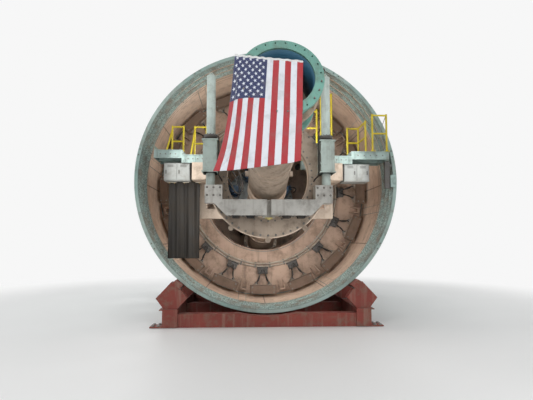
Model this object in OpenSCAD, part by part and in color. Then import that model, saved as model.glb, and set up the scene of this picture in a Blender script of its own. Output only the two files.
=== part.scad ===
// Earth pressure balance tunnel boring machine on its launch cradle, in millimetres.
// X is to the right seen from behind, Y runs forward to the cutterhead, Z is up.
// A station t is the distance ahead of the tail shield's rear edge.
// A height "from the axis" is measured up from the machine's centre line.

/* [Shield] */
// Outer diameter of the front shield
shield_d = 6300; // [6260:10:6360]
// Height of the shield's lowest line above the floor
floor_gap = 250; // [230:10:450]
// Step down in diameter from one shield section to the next
step_d = 10; // [6:2:14]
// Wall of the front shield
front_wall = 70; // [60:5:80]
// Wall of the middle shield
mid_wall = 60; // [50:5:70]
// Wall of the tail skin
tail_wall = 50; // [45:5:55]
// Length of the tail shield
tail_len = 3000; // [2980:10:3060]
// Length of the middle shield
mid_len = 3200; // [3150:10:3300]
// Length of the front shield
front_len = 2600; // [2560:10:2700]
// Depth of the excavation chamber, from the bulkhead to the front edge
chamber_len = 1320; // [1280:10:1400]
// Thickness of the bulkhead plate
bulkhead_t = 80; // [60:5:100]
// Overlap of the middle shield's nose inside the front shield
nose_len = 250; // [200:10:300]

/* [Tail seal] */
// Rows of wire brush seal
seal_rows = 3; // [2:1:4]
// Distance from one brush row to the next
seal_pitch = 320; // [300:10:340]
// Station of the first brush row
seal_start = 100; // [80:10:120]
// Radial height of the brushes
seal_h = 75; // [60:5:80]
// Length of one brush row along the axis
seal_len = 130; // [110:10:150]
// Width of the plate ring that closes the tail's rear edge
rim_w = 85; // [70:5:90]
// Thickness of that plate ring
rim_t = 40; // [30:5:50]

/* [Ring girder and thrust] */
// Inner radius of the two ring webs
girder_r = 1750; // [1720:10:1780]
// Thickness of the girder's inner flange
girder_flange = 40; // [30:5:50]
// Thickness of a ring web
web_t = 50; // [40:5:60]
// Distance between the two ring webs
web_gap = 1250; // [1220:10:1280]
// Number of thrust shoes
shoe_count = 16; // [12:1:18]
// From the thrust cylinders' centres out to the tail skin
thrust_gap = 215; // [205:5:240]
// Half the distance between the two cylinders of one shoe
twin_half = 205; // [200:5:215]
// Outer diameter of a thrust barrel
barrel_d = 250; // [240:5:260]
// Diameter of a thrust rod
rod_d = 160; // [150:5:170]
// Gap between a rod and its barrel
rod_gap = 0.8; // [0.6:0.1:1]
// Length of a thrust barrel beyond its stroke
barrel_over = 650; // [600:10:700]
// Station of a retracted shoe's pushing face
shoe_t = 2400; // [2380:10:2420]
// Width of a shoe around the ring
shoe_w = 760; // [720:10:800]
// Radial height of a shoe
shoe_h = 260; // [240:10:270]
// Thickness of a shoe with its pad
shoe_len = 150; // [130:5:160]
// Stroke of the thrust cylinders
thrust_stroke = 1500; // [1400:50:1500]

/* [Cutterhead] */
// Diameter cut by the rim
cut_d = 6320; // [6310:5:6360]
// Gap between the front shield and the cutterhead
cut_gap = 70; // [50:5:90]
// Depth of the cutterhead's rim and spokes
disc_len = 480; // [440:10:520]
// Radial width of the rim
rim_band = 230; // [200:10:260]
// Number of main spokes
spoke_count = 6; // [5:1:8]
// Width of a main spoke
spoke_w = 560; // [500:10:600]
// Radius of the central boss
boss_r = 760; // [720:10:800]
// Radius of the drum that carries the cutterhead
drum_r = 960; // [940:10:980]
// Running gap between the drum and its bearing
drum_gap = 0.8; // [0.6:0.1:1]
// Height of a cutting tool over the face
tool_h = 150; // [120:5:180]
// Length of the centre nose cutter over the face
nose_h = 480; // [440:10:520]

/* [Main drive and lock] */
// Radius of the main drive housing
drive_r = 1300; // [1280:10:1320]
// Length of the main drive housing
drive_len = 700; // [680:10:760]
// Number of drive motors
motor_count = 8; // [6:2:8]
// Radius of the motors' circle
motor_circle = 980; // [960:5:990]
// Diameter of a drive motor
motor_d = 380; // [360:5:400]
// Length of a drive motor with its gearbox
motor_len = 1100; // [1050:10:1150]
// Radius of the man lock
lock_r = 700; // [680:10:705]
// Gap between the main drive and the man lock
lock_gap = 40; // [35:1:60]
// Length of the man lock
lock_len = 2200; // [2150:10:2250]
// Width of the lock door's opening
door_w = 600; // [560:10:620]
// Height of the lock door's opening
door_h = 760; // [720:10:800]

/* [Screw conveyor] */
// Slope of the conveyor
screw_incline = 14.5; // [14.2:0.1:14.8]
// Station where the conveyor's height is set, under the erector
screw_ref_t = -830; // [-850:5:-810]
// Height of the conveyor's centre there, from the axis
screw_ref_z = 20; // [15:1:25]
// Outer radius of the casing
casing_r = 450; // [445:1:455]
// Wall of the casing
casing_wall = 30; // [25:1:32]
// Distance from the reference point back to the rear flange's face
screw_rear = 3646; // [3600:10:3700]
// Length of the wider discharge housing at the rear
housing_len = 800; // [750:10:850]
// Outer radius of the discharge housing
housing_r = 530; // [525:1:540]
// Outer radius of the rear flange
rear_flange_r = 630; // [625:1:640]
// Thickness of the rear flange
rear_flange_t = 60; // [50:5:70]
// Bolts in the rear flange
rear_bolts = 24; // [20:2:28]
// Outer radius of a casing joint flange
joint_flange_r = 560; // [550:5:570]
// Radius of the auger's flight
flight_r = 412; // [408:1:414]
// Radius of the auger's shaft
shaft_r = 110; // [100:5:120]
// Pitch of the auger's flight
flight_pitch = 620; // [600:10:660]
// Thickness of the flight
flight_t = 30; // [25:1:35]

/* [Erector] */
// Station of the fixed ring's rear face
carriage_t = -340; // [-345:5:-335]
// Length of the fixed ring along the axis
carriage_len = 260; // [250:5:270]
// Outer radius of the fixed ring
carriage_r = 1400; // [1395:1:1405]
// Bore radius of the fixed ring
carriage_bore = 1000; // [995:1:1005]
// Clearance between the turning ring and what it passes
turn_gap = 10; // [8:1:12]
// Thickness of the turning ring's flange
rotor_t = 100; // [90:5:110]
// Outer radius of the turning ring's flange
rotor_r = 1380; // [1375:1:1385]
// Wall of the turning ring's drum
drum_wall = 50; // [45:5:55]
// Support rollers around the turning ring
roller_count = 10; // [6, 10]
// Radius of a support roller
roller_r = 60; // [55:1:65]
// Sideways distance of the guide columns from the axis
column_x = 1293; // [1288:1:1298]
// Diameter of a guide tube
tube_d = 200; // [190:2:206]
// Guide tube left above its housing at full stroke
tube_over = 140; // [100:10:160]
// Height of a column housing's top from the axis
column_top = 770; // [750:5:790]
// Height of a column housing's foot from the axis
column_foot = 40; // [30:5:60]
// Width of a column housing
column_w = 300; // [290:5:310]
// Depth of a column housing along the axis
column_len = 500; // [480:5:520]
// Gap between a guide tube and its housing
tube_gap = 0.8; // [0.6:0.1:1]
// Distance from the axis to the head beam's inner face
beam_in = 550; // [548:1:560]
// Height of the head beam
beam_h = 350; // [330:5:370]
// Half length of the head beam
beam_half = 1200; // [1180:5:1220]
// Depth of the head beam along the axis
beam_len = 400; // [380:5:410]
// Stroke of the head
head_stroke = 1200; // [1100:50:1200]

/* [Decks] */
// Inner edge of the runway beams from the mid-plane
runway_x = 1450; // [1440:5:1460]
// Width of a runway beam
runway_w = 300; // [280:5:320]
// Height of a runway beam
runway_h = 400; // [380:5:420]
// Height of a runway beam's top from the axis
runway_top = 350; // [340:5:360]
// Station of the decks' rear edge
deck_t = -260; // [-270:5:-250]
// Depth of a deck's edge frame
deck_h = 190; // [180:5:200]
// Thickness of the deck plate
deck_plate = 40; // [30:5:50]
// Step up from the inner to the outer deck
deck_step = 110; // [100:5:120]
// Inner edge of the inner decks
deck_x0 = 1370; // [1365:5:1380]
// Edge between the inner and outer deck
deck_x1 = 2000; // [1980:5:2020]
// Gap between the right outer deck's edge and the tail skin's radius
deck_gap_right = 210; // [200:5:260]
// Gap between the left outer deck's edge and the tail skin's radius
deck_gap_left = 450; // [400:10:500]
// Length of the outer decks
outer_len = 940; // [900:10:960]
// Length of the inner decks
inner_len = 2560; // [2500:10:2600]
// Diameter of the handrail tubes
rail_d = 48; // [42:2:54]

/* [Cradle] */
// Angle of the rails from the lowest point
cradle_a = 40; // [38:0.5:42]
// From the rails' line out to the middle of a base beam
cradle_out = 175; // [150:5:200]
// Width of a base beam
cradle_w = 300; // [280:10:320]
// Height of a base beam
cradle_h = 400; // [360:10:420]
// Thickness of a rail
rail_t = 80; // [60:5:90]
// Width of a rail
rail_w = 200; // [180:10:220]
// Station where the cradle starts
cradle_t0 = -300; // [-320:10:-280]
// Distance that the cradle stops short of the front edge
cradle_short = 200; // [150:10:250]
// Number of cross beams
cross_count = 6; // [5:1:8]

/* [Hidden] */
$fn = 96;

// Radii of the shield sections, and the height of the axis
front_r = shield_d / 2;
axis_z = front_r + floor_gap;
front_bore = front_r - front_wall;
mid_r = front_r - step_d / 2;
mid_bore = mid_r - mid_wall;
tail_r = mid_r - step_d / 2;
tail_bore = tail_r - tail_wall;
// Places that follow the shield sections
thrust_r = tail_bore - thrust_gap;
deck_x2 = tail_bore - deck_gap_right;
deck_x3 = tail_bore - deck_gap_left;
cradle_x = front_r * sin(cradle_a) + cradle_out;
lock_z = drive_r + lock_gap + lock_r;
// Lengths that follow a stroke
gland_h = 130;
barrel_len = thrust_stroke + barrel_over;
tube_top = column_top + gland_h + head_stroke + tube_over;
// Stations along the machine
mid_t = tail_len;
front_t = mid_t + mid_len;
edge_t = front_t + front_len;
bulkhead_st = edge_t - chamber_len - bulkhead_t;
disc_t = edge_t + cut_gap;
face_t = disc_t + disc_len;
nose_t = face_t + nose_h;
web1_t = mid_t + 20;
web2_t = web1_t + web_gap;
barrel_t = shoe_t + shoe_len + 200;
// A seat that parts two pieces of one body
seat = 0.3;
// Thickness of the flag's cloth as a plain solid
flag_t = 14;
// The cloth at the rear flange's lowest point ends the machine
flange_st = screw_ref_t - screw_rear * cos(screw_incline);
rear_t = flange_st - rear_flange_r * sin(screw_incline) - seat * cos(screw_incline) - flag_t;
// Station of the frame's origin, half way along
origin_t = (nose_t + rear_t) / 2;
// Erector stations
rotor_face = carriage_t - turn_gap - rotor_t;
column_t = rotor_face - column_len;
tube_t = rotor_face - column_len / 2;
deck_top = runway_top + deck_h;

// Route of a hose: chosen points [x, t, z] from the axis, joined as a smooth curve
hose_d = 44;
hose_routes = [
  [[-1110, -60, 400], [-1110, 10, 400], [-930, 60, 330], [-720, 70, 60], [-640, 70, -260],
   [-710, 60, -480], [-860, 50, -430], [-960, 50, -200], [-1085, 10, 60], [-1085, -60, 60]],
  [[-1090, -60, 480], [-1090, 0, 480], [-840, 10, 420], [-640, 0, 160], [-570, 0, -200],
   [-640, 0, -360], [-780, 0, -300], [-880, 0, -60], [-1080, 0, 190], [-1080, -60, 190]]
];

function yt(t) = t - origin_t;
// Height of the conveyor's centre line at a station, from the axis
function screw_z(t) = screw_ref_z - (t - screw_ref_t) * tan(screw_incline);
// Distance along the conveyor from its reference point, positive to the rear
function screw_s(t) = (screw_ref_t - t) / cos(screw_incline);

// Places children on the axis at a station
module at(t) translate([0, yt(t), axis_z]) children();

// Turns children about the axis: a is counted from the top to the right
module turned(a, t, r) at(t) rotate([0, a, 0]) translate([0, 0, r]) children();

// Places children on the conveyor's centre line, local z to the rear and up
module on_screw(s)
  translate([0, yt(screw_ref_t), axis_z + screw_ref_z])
    rotate([90 - screw_incline, 0, 0])
      translate([0, 0, s]) children();

// Cylinder along the axis, its rear end at a station
module disc_y(t, len, r) at(t) rotate([-90, 0, 0]) cylinder(r = r, h = len);

// Ring along the axis
module ring_y(t, len, r_out, r_in)
  at(t) rotate([-90, 0, 0]) tube(r_out, r_in, len);

module tube(r_out, r_in, len)
  difference() {
    cylinder(r = r_out, h = len);
    translate([0, 0, -1]) cylinder(r = r_in, h = len + 2);
  }

// Box given by its low and high corner: x and z from the axis, y as a station
module span(x0, x1, t0, t1, z0, z1)
  translate([x0, yt(t0), axis_z + z0]) cube([x1 - x0, t1 - t0, z1 - z0]);

// Round bar between two points given as [x, t, z]
module bar(a, b, d) {
  v = b - a;
  len = norm(v);
  translate([a[0], yt(a[1]), axis_z + a[2]])
    rotate([0, acos(v[2] / len), atan2(v[1], v[0])])
      cylinder(d = d, h = len);
}

// Front shield: thick shell, bevelled cutting edge and a ring rib
module front_shield() {
  edge = 60;
  color([0.62, 0.72, 0.70])
    at(front_t) rotate([-90, 0, 0])
      rotate_extrude()
        polygon([
          [front_bore, seat], [front_r, seat], [front_r, front_len - edge],
          [front_r - edge / 2, front_len], [front_bore - 20, front_len],
          [front_bore - 20, front_len - 300], [front_bore, front_len - 360]
        ]);
}

// Bulkhead: pressure wall with the drive and conveyor openings, and fixed mixing bars
module bulkhead() {
  // Fixed bars: radius, angle from the top
  outer = cut_d / 2 - rim_band - 580;
  bars = [[1450, 30], [1450, 150], [1450, 270], [outer, 75], [outer, 285]];
  bar_len = 420;
  color([0.74, 0.62, 0.53]) {
    difference() {
      disc_y(bulkhead_st, bulkhead_t, front_bore - seat);
      disc_y(bulkhead_st - 1, bulkhead_t + 2, drum_r + 20);
      on_screw(screw_s(bulkhead_st + bulkhead_t) - 600) cylinder(r = casing_r + seat, h = 1200);
    }
    for (b = bars)
      turned(b[1], bulkhead_st + bulkhead_t, b[0])
        rotate([-90, 0, 0]) cylinder(d = 120, h = bar_len);
  }
}

// Main drive: bearing housing, gear case step and flange
module main_drive() {
  flange = 90;
  color([0.72, 0.74, 0.74])
    difference() {
      union() {
        disc_y(bulkhead_st - drive_len, drive_len, drive_r);
        disc_y(bulkhead_st - flange, flange, drive_r + 30);
      }
      disc_y(bulkhead_st - drive_len + 150, drive_len, drum_r + drum_gap);
    }
}

// Drive motors: gearbox, motor and end cap, repeated around the drive
module drive_motors() {
  back_t = bulkhead_st - drive_len;
  // Stacked sizes: length share, radius share
  stack = [[0.30, 1.0], [0.08, 1.12], [0.50, 0.84], [0.12, 0.62]];
  starts = [0, 0.30, 0.38, 0.88];
  color([0.20, 0.36, 0.50])
    for (i = [0 : motor_count - 1])
      turned(360 / motor_count * (i + 0.5), back_t, motor_circle)
        rotate([90, 0, 0])
          for (k = [0 : 3])
            translate([0, 0, starts[k] * motor_len])
              cylinder(r = motor_d / 2 * stack[k][1], h = stack[k][0] * motor_len);
}

// Lock door: its gap to the lock, its plate, its lap over the opening and its hinge pin
door_gap = 6;
door_plate = 40;
door_lap = 50;
hinge_x = -door_w / 2 - door_lap - 50;
hinge_d = 36;
lock_t = bulkhead_st - lock_len;
hinge_t = lock_t - door_gap - door_plate;

// Man lock: hollow pressure vessel, door opening at its rear, hinge lugs and pin
module man_lock() {
  wall = 30;
  lug_z = 150;
  lug_h = 40;
  color([0.80, 0.80, 0.76]) {
    difference() {
      translate([0, 0, lock_z]) disc_y(lock_t, lock_len, lock_r);
      translate([0, 0, lock_z]) disc_y(lock_t + wall, lock_len - wall + 1, lock_r - wall);
      span(-door_w / 2, door_w / 2, lock_t - 1, lock_t + wall + 1,
           lock_z - door_h / 2, lock_z + door_h / 2);
    }
    for (z = [-lug_z, lug_z - lug_h])
      span(hinge_x - 25, hinge_x + 25, hinge_t - 25, lock_t + 5, lock_z + z, lock_z + z + lug_h);
    bar([hinge_x, hinge_t, lock_z - lug_z], [hinge_x, hinge_t, lock_z + lug_z], hinge_d);
  }
}

// Lock door: plate with a handwheel boss and a knuckle on the hinge pin
module lock_door() {
  knuckle_h = 180;
  color([0.85, 0.80, 0.62])
    difference() {
      union() {
        span(-door_w / 2 - door_lap, door_w / 2 + door_lap,
             lock_t - door_gap - door_plate, lock_t - door_gap,
             lock_z - door_h / 2 - door_lap, lock_z + door_h / 2 + door_lap);
        translate([door_w / 2 - 90, 0, lock_z]) disc_y(lock_t - door_gap - door_plate - 60, 61, 50);
        bar([hinge_x, hinge_t, lock_z - knuckle_h / 2], [hinge_x, hinge_t, lock_z + knuckle_h / 2], 70);
        span(hinge_x, -door_w / 2 - door_lap + 1, hinge_t - 20, hinge_t + 20,
             lock_z - knuckle_h / 2, lock_z + knuckle_h / 2);
      }
      bar([hinge_x, hinge_t, lock_z - knuckle_h], [hinge_x, hinge_t, lock_z + knuckle_h], hinge_d + 1.6);
    }
}

// Middle shield: shell with the nose that enters the front shield
module mid_shield() {
  nose_r = front_bore - seat;
  nose_bore = nose_r - 50;
  color([0.62, 0.72, 0.70])
    at(mid_t) rotate([-90, 0, 0])
      rotate_extrude()
        polygon([
          [mid_bore, 0], [mid_r, 0], [mid_r, mid_len], [nose_r, mid_len],
          [nose_r, mid_len + nose_len], [nose_bore, mid_len + nose_len],
          [nose_bore, mid_len - 200], [mid_bore, mid_len - 260]
        ]);
}

// Angle of each cylinder of a pair, counted from the shoe's middle
function twin_a() = asin(twin_half / thrust_r);

// Passage cut for the conveyor through the girder
module girder_passage()
  on_screw(screw_s(web2_t + web_t) - 500) cylinder(r = casing_r + 25, h = web_gap + 1600);

// Ring girder: inner flange, and stiffeners between the cylinder pairs
module ring_girder() {
  rib_t = 40;
  rib_r = girder_r + girder_flange;
  color([0.76, 0.64, 0.56])
    difference() {
      union() {
        ring_y(web1_t, web2_t + web_t - web1_t, rib_r, girder_r);
        for (i = [0 : shoe_count - 1])
          turned(360 / shoe_count * (i + 0.5), web1_t + web_t + seat, rib_r - 2)
            translate([-rib_t / 2, 0, 0])
              cube([rib_t, web_gap - web_t - 2 * seat, mid_bore - rib_r - 12]);
      }
      girder_passage();
    }
}

// Girder webs: two ring plates that hold the thrust barrels
module girder_webs()
  color([0.76, 0.64, 0.56])
    for (t = [web1_t, web2_t])
      difference() {
        ring_y(t, web_t, mid_bore - seat, girder_r + girder_flange + seat);
        for (i = [0 : shoe_count - 1], s = [-1, 1])
          turned(360 / shoe_count * i + s * twin_a(), t - 10, thrust_r)
            rotate([-90, 0, 0]) cylinder(d = barrel_d + 2 * seat, h = web_t + 20);
        girder_passage();
      }

// Shoe brackets: paired gusset plates under a cap, on the rear web between the shoes
module shoe_brackets() {
  plate = 25;
  half = 75;
  reach = 380;
  low = -170;
  high = 70;
  color([0.72, 0.60, 0.52])
    for (i = [0 : shoe_count - 1])
      turned(360 / shoe_count * (i + 0.5), web1_t - seat, thrust_r) {
        for (s = [-1, 1])
          translate([s * half - plate / 2, 0, 0])
            rotate([90, 0, 90])
              linear_extrude(plate)
                polygon([[0, low], [0, high], [-reach, high], [-reach, high - 60], [-60, low]]);
        translate([-half, -reach, high - plate]) cube([2 * half, reach, plate]);
      }
}

// Thrust barrels: head gland, tube and rear cap, in pairs
module thrust_barrels() {
  gland = 120;
  color([0.45, 0.47, 0.46])
    for (i = [0 : shoe_count - 1], s = [-1, 1])
      turned(360 / shoe_count * i + s * twin_a(), barrel_t, thrust_r)
        rotate([-90, 0, 0])
          difference() {
            cylinder(d = barrel_d, h = barrel_len);
            translate([0, 0, -1])
              cylinder(d = rod_d + 2 * rod_gap, h = barrel_len - gland + 1);
          }
}

// Thrust rods: one node, each rod seated on its shoe
module thrust_rods() {
  shoe_back = shoe_t + shoe_len;
  rod_len = barrel_len - 140 + barrel_t - shoe_back;
  color([0.80, 0.82, 0.84])
    for (i = [0 : shoe_count - 1], s = [-1, 1])
      turned(360 / shoe_count * i + s * twin_a(), shoe_back, thrust_r)
        rotate([-90, 0, 0]) cylinder(d = rod_d, h = rod_len);
}

// Thrust shoes: pad, plate and the two rod sockets
module thrust_shoes() {
  pad = 55;
  color([0.47, 0.38, 0.31])
    for (i = [0 : shoe_count - 1])
      turned(360 / shoe_count * i, shoe_t, thrust_r) {
        translate([-shoe_w / 2, pad, -shoe_h / 2]) cube([shoe_w, shoe_len - pad, shoe_h]);
        translate([-shoe_w / 2 + 20, 0, -shoe_h / 2 + 15]) cube([shoe_w - 40, pad, shoe_h - 30]);
      }
}

// Steering cylinders across the joint between the middle and front shields
module steering_cylinders() {
  steer_count = 12;
  steer_r = mid_bore - 205;
  steer_d = 170;
  back_t = front_t - 1050;
  len = 1500;
  foot = 120;
  color([0.45, 0.47, 0.46])
    for (i = [0 : steer_count - 1])
      turned(360 / steer_count * (i + 0.5), back_t, steer_r) {
        rotate([-90, 0, 0]) cylinder(d = steer_d, h = len * 0.6);
        rotate([-90, 0, 0]) cylinder(d = steer_d * 0.55, h = len);
        translate([-60, -foot, -90]) cube([120, foot, mid_bore - steer_r + 90 - 1]);
        translate([-60, len, -90]) cube([120, foot, front_bore - steer_r + 90 - 1]);
      }
}

// Tail shield: long thin shell with a plate ring at the rear edge
module tail_shield() {
  // Angles of the bolt hole pairs in the rear edge, from the top
  pairs = [-120.6, -78, -33, 33, 78, 120.6];
  hole_d = 34;
  pair_half = 1.3;
  hole_r = tail_r - rim_w * 0.47;
  color([0.62, 0.73, 0.70])
    difference() {
      at(0) rotate([-90, 0, 0])
        rotate_extrude()
          polygon([
            [tail_r - rim_w, 0], [tail_r - 8, 0], [tail_r, 8], [tail_r, tail_len - seat],
            [tail_bore, tail_len - seat], [tail_bore, rim_t], [tail_r - rim_w, rim_t]
          ]);
      for (a = pairs, s = [-1, 1])
        turned(a + s * pair_half, -1, hole_r)
          rotate([-90, 0, 0]) cylinder(d = hole_d, h = rim_t + 2);
    }
}

// Tail seals: rows of wire brush leaning forward, each on its own backing strip
module tail_seals() {
  strip = 12;
  lean = 40;
  color([0.34, 0.33, 0.31])
    for (i = [0 : seal_rows - 1])
      at(seal_start + i * seal_pitch) rotate([-90, 0, 0])
        rotate_extrude()
          polygon([
            [tail_bore - seat, 0], [tail_bore - strip, 0],
            [tail_bore - seal_h, lean], [tail_bore - seal_h, lean + 40],
            [tail_bore - strip, seal_len], [tail_bore - seat, seal_len]
          ]);
}

// Lifting lugs: an eye plate on a doubler, at the top of the front and middle shields
module lifting_lugs() {
  // Station, angle from the top, shield radius
  table = [
    [mid_t + 500, 28, mid_r], [mid_t + 500, -28, mid_r],
    [front_t + 1700, 28, front_r], [front_t + 1700, -28, front_r]
  ];
  ear_t = 60;
  ear_w = 360;
  ear_h = 240;
  ear_r = 115;
  eye_d = 110;
  color([0.62, 0.72, 0.70])
    for (row = table)
      turned(row[1], row[0], row[2] + seat)
        translate([ear_t / 2, 0, 0]) rotate([0, -90, 0]) linear_extrude(ear_t)
          difference() {
            union() {
              translate([0, -ear_w / 2]) square([ear_h - ear_r, ear_w]);
              translate([ear_h - ear_r, 0]) circle(r = ear_r);
            }
            translate([ear_h - ear_r, 0]) circle(d = eye_d);
          }
}

// Sector of a ring as a flat shape, angles from local y
module sector(r1, r2, a1, a2)
  intersection() {
    difference() {
      circle(r = r2);
      circle(r = r1);
    }
    polygon([
      [0, 0], 2 * r2 * [sin(a1), cos(a1)], 2 * r2 * [sin((a1 + a2) / 2), cos((a1 + a2) / 2)],
      2 * r2 * [sin(a2), cos(a2)]
    ]);
  }

// Flat shapes drawn as seen from behind are stood up across the axis
module across(t, len) at(t) rotate([90, 0, 0]) translate([0, 0, -len]) linear_extrude(len) children();

// Cutterhead disc: rim, spokes, boss, the face plates between the slots and mixing bars behind
module cutterhead_disc() {
  step = 360 / spoke_count;
  slot_a = 8;
  plate_t = 90;
  plate_r = 1350;
  spoke_a = asin(spoke_w / 2 / 2200);
  rim_r = cut_d / 2;
  bevel = 110;
  // Mixing bars on the back of the disc: radius, angle from the top
  mix_out = rim_r - rim_band - 280;
  mix_in = mix_out - 250;
  bars = [[mix_in, 60], [mix_in, 240], [mix_out, 120], [mix_out, 300]];
  mix_len = 520;
  color([0.78, 0.30, 0.14]) {
    at(disc_t) rotate([-90, 0, 0])
      rotate_extrude()
        polygon([
          [rim_r - rim_band, 0], [rim_r, 0], [rim_r, disc_len - bevel],
          [rim_r - bevel, disc_len], [rim_r - rim_band, disc_len]
        ]);
    disc_y(disc_t, disc_len, boss_r);
    for (i = [0 : spoke_count - 1]) {
      turned(step * i, disc_t, boss_r - 60)
        translate([-spoke_w / 2, 0, 0]) cube([spoke_w, disc_len, rim_r - rim_band - boss_r + 90]);
      across(face_t - plate_t, plate_t)
        sector(plate_r, rim_r - rim_band + 30,
               step * i + spoke_a + slot_a, step * (i + 1) - spoke_a - slot_a);
    }
    for (b = bars)
      turned(b[1], disc_t - mix_len, b[0])
        rotate([-90, 0, 0]) cylinder(d = 130, h = mix_len + 1);
  }
}

// Cutting tools: scrapers along both edges of each spoke, rippers on its middle, nose in the centre
module cutterhead_tools() {
  step = 360 / spoke_count;
  scraper_n = 7;
  scraper_w = 190;
  scraper_pitch = 265;
  first_r = 1000;
  ripper_n = 5;
  color([0.46, 0.45, 0.43]) {
    for (i = [0 : spoke_count - 1], k = [0 : scraper_n - 1], s = [-1, 1])
      turned(step * i, face_t, first_r + scraper_pitch * k)
        translate([s * (spoke_w / 2 - 60), 0, 0])
          scraper(scraper_w, s);
    for (i = [0 : spoke_count - 1], k = [0 : ripper_n - 1])
      turned(step * i, face_t, first_r + 120 + 370 * k)
        ripper();
    turned(0, face_t, 0) nose_cutter();
  }
}

// One scraper: a wedge whose edge faces out of its spoke
module scraper(w, s)
  translate([0, 0, -w / 2])
    linear_extrude(w)
      polygon([[-s * 60, 0], [s * 70, 0], [s * 80, tool_h * 0.8], [-s * 20, tool_h * 0.35]]);

// One ripper: a square shank with a chisel top
module ripper()
  rotate([0, -90, 0])
    translate([0, 0, -50])
      linear_extrude(100)
        polygon([[-70, 0], [70, 0], [50, tool_h * 0.7], [15, tool_h], [-15, tool_h], [-50, tool_h * 0.7]]);

// Centre nose: crossed fishtail plates on a round foot
module nose_cutter() {
  rotate([-90, 0, 0]) cylinder(r = 330, h = 90);
  for (a = [0, 90])
    rotate([0, a, 0])
      translate([0, 0, -45])
        linear_extrude(90)
          polygon([
            [-300, 0], [300, 0], [240, nose_h * 0.45],
            [45, nose_h], [-45, nose_h], [-240, nose_h * 0.45]
          ]);
}

// Cutterhead hub: drum through the bulkhead and arms to the spokes
module cutterhead_hub() {
  step = 360 / spoke_count;
  drum_t0 = bulkhead_st - drive_len + 170;
  drum_t1 = disc_t - 620;
  arm_w = 260;
  arm_out = cut_d / 2 - rim_band - 680;
  arm_foot = 500;
  color([0.60, 0.56, 0.50]) {
    ring_y(drum_t0, drum_t1 - drum_t0, drum_r, drum_r - 120);
    disc_y(drum_t1 - 100, 100, drum_r);
    for (i = [0 : spoke_count - 1])
      at(0) rotate([0, step * i, 0])
        translate([-arm_w / 2, 0, 0])
          rotate([90, 0, 90])
            linear_extrude(arm_w)
              polygon([
                [drum_t1 - 100, drum_r - 260], [drum_t1 - 100, drum_r - 40], [disc_t, arm_out],
                [disc_t, arm_out - arm_foot], [drum_t1 + 60, drum_r - 360]
              ]);
  }
}

// Rear end of the conveyor's casing, and the places of its joint flanges
casing_rear = screw_rear - housing_len;
casing_joints = [screw_s(-2430), screw_s(1640), screw_s(5000)];

// Screw conveyor casing: sloping tube with side lugs at the erector
module screw_casing() {
  front_s = screw_s(bulkhead_st + bulkhead_t + 60);
  lug_x = casing_r + 75;
  color([0.66, 0.68, 0.62])
    difference() {
      union() {
        on_screw(front_s) cylinder(r = casing_r, h = casing_rear - front_s);
        on_screw(0) rotate([0, 90, 0]) translate([0, 0, -lug_x]) cylinder(d = 120, h = 2 * lug_x);
      }
      on_screw(front_s - 10) cylinder(r = casing_r - casing_wall, h = casing_rear - front_s + 20);
    }
}

// Conveyor flanges: joint rings round the casing, and the collar of the discharge housing
// with its ribs and two lifting ears
module screw_flanges() {
  flange_t = 70;
  collar_s = screw_rear - 420;
  collar_t = 50;
  collar_r = rear_flange_r - 20;
  rib_n = 12;
  rib_t = 16;
  color([0.60, 0.66, 0.60]) {
    for (s = casing_joints) on_screw(s - flange_t / 2) tube(joint_flange_r, casing_r + seat, flange_t);
    on_screw(casing_rear - flange_t) tube(housing_r + 60, casing_r + seat, flange_t - seat);
    on_screw(collar_s) tube(collar_r, housing_r + seat, collar_t);
    for (i = [0 : rib_n - 1])
      on_screw(collar_s + collar_t - 1)
        rotate([0, 0, 360 / rib_n * i])
          translate([-rib_t / 2, housing_r + 3, 0])
            cube([rib_t, collar_r - housing_r - 15, 420 - collar_t - rear_flange_t + 1 - seat]);
    for (a = [-62, 62])
      on_screw(collar_s + 5)
        rotate([0, 0, -a])
          linear_extrude(collar_t - 10)
            difference() {
              union() {
                translate([-60, collar_r - 15]) square([120, 75]);
                translate([0, collar_r + 60]) circle(r = 60);
              }
              translate([0, collar_r + 60]) circle(d = 64);
            }
  }
}

// Discharge housing: the wider rear tube with its open bolted flange
module screw_housing() {
  rear_s = screw_rear;
  front_s = casing_rear;
  wall = 35;
  bolt_r = 14;
  bolt_circle = rear_flange_r - 45;
  color([0.45, 0.66, 0.60])
    difference() {
      union() {
        on_screw(front_s) cylinder(r = housing_r, h = housing_len);
        on_screw(front_s) cylinder(r = housing_r + 60, h = 60);
        on_screw(rear_s - rear_flange_t) cylinder(r = rear_flange_r, h = rear_flange_t);
      }
      on_screw(front_s - 10) cylinder(r = housing_r - wall, h = housing_len + 20);
      for (i = [0 : rear_bolts - 1])
        on_screw(rear_s - rear_flange_t - 1)
          rotate([0, 0, 360 / rear_bolts * (i + 0.5)])
            translate([0, bolt_circle, 0]) cylinder(r = bolt_r, h = rear_flange_t + 2);
    }
}

// Ends of the auger along the conveyor
auger_front = screw_s(bulkhead_st + bulkhead_t + 430);
auger_rear = screw_rear - 320;
// The auger lies on the bottom of the casing
auger_drop = casing_r - casing_wall - flight_r - 0.8;
module on_auger(s) on_screw(s) translate([0, -auger_drop, 0]) children();

// Auger shaft
module auger_shaft()
  color([0.40, 0.40, 0.38])
    on_auger(auger_front) cylinder(r = shaft_r, h = auger_rear - auger_front);

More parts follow.
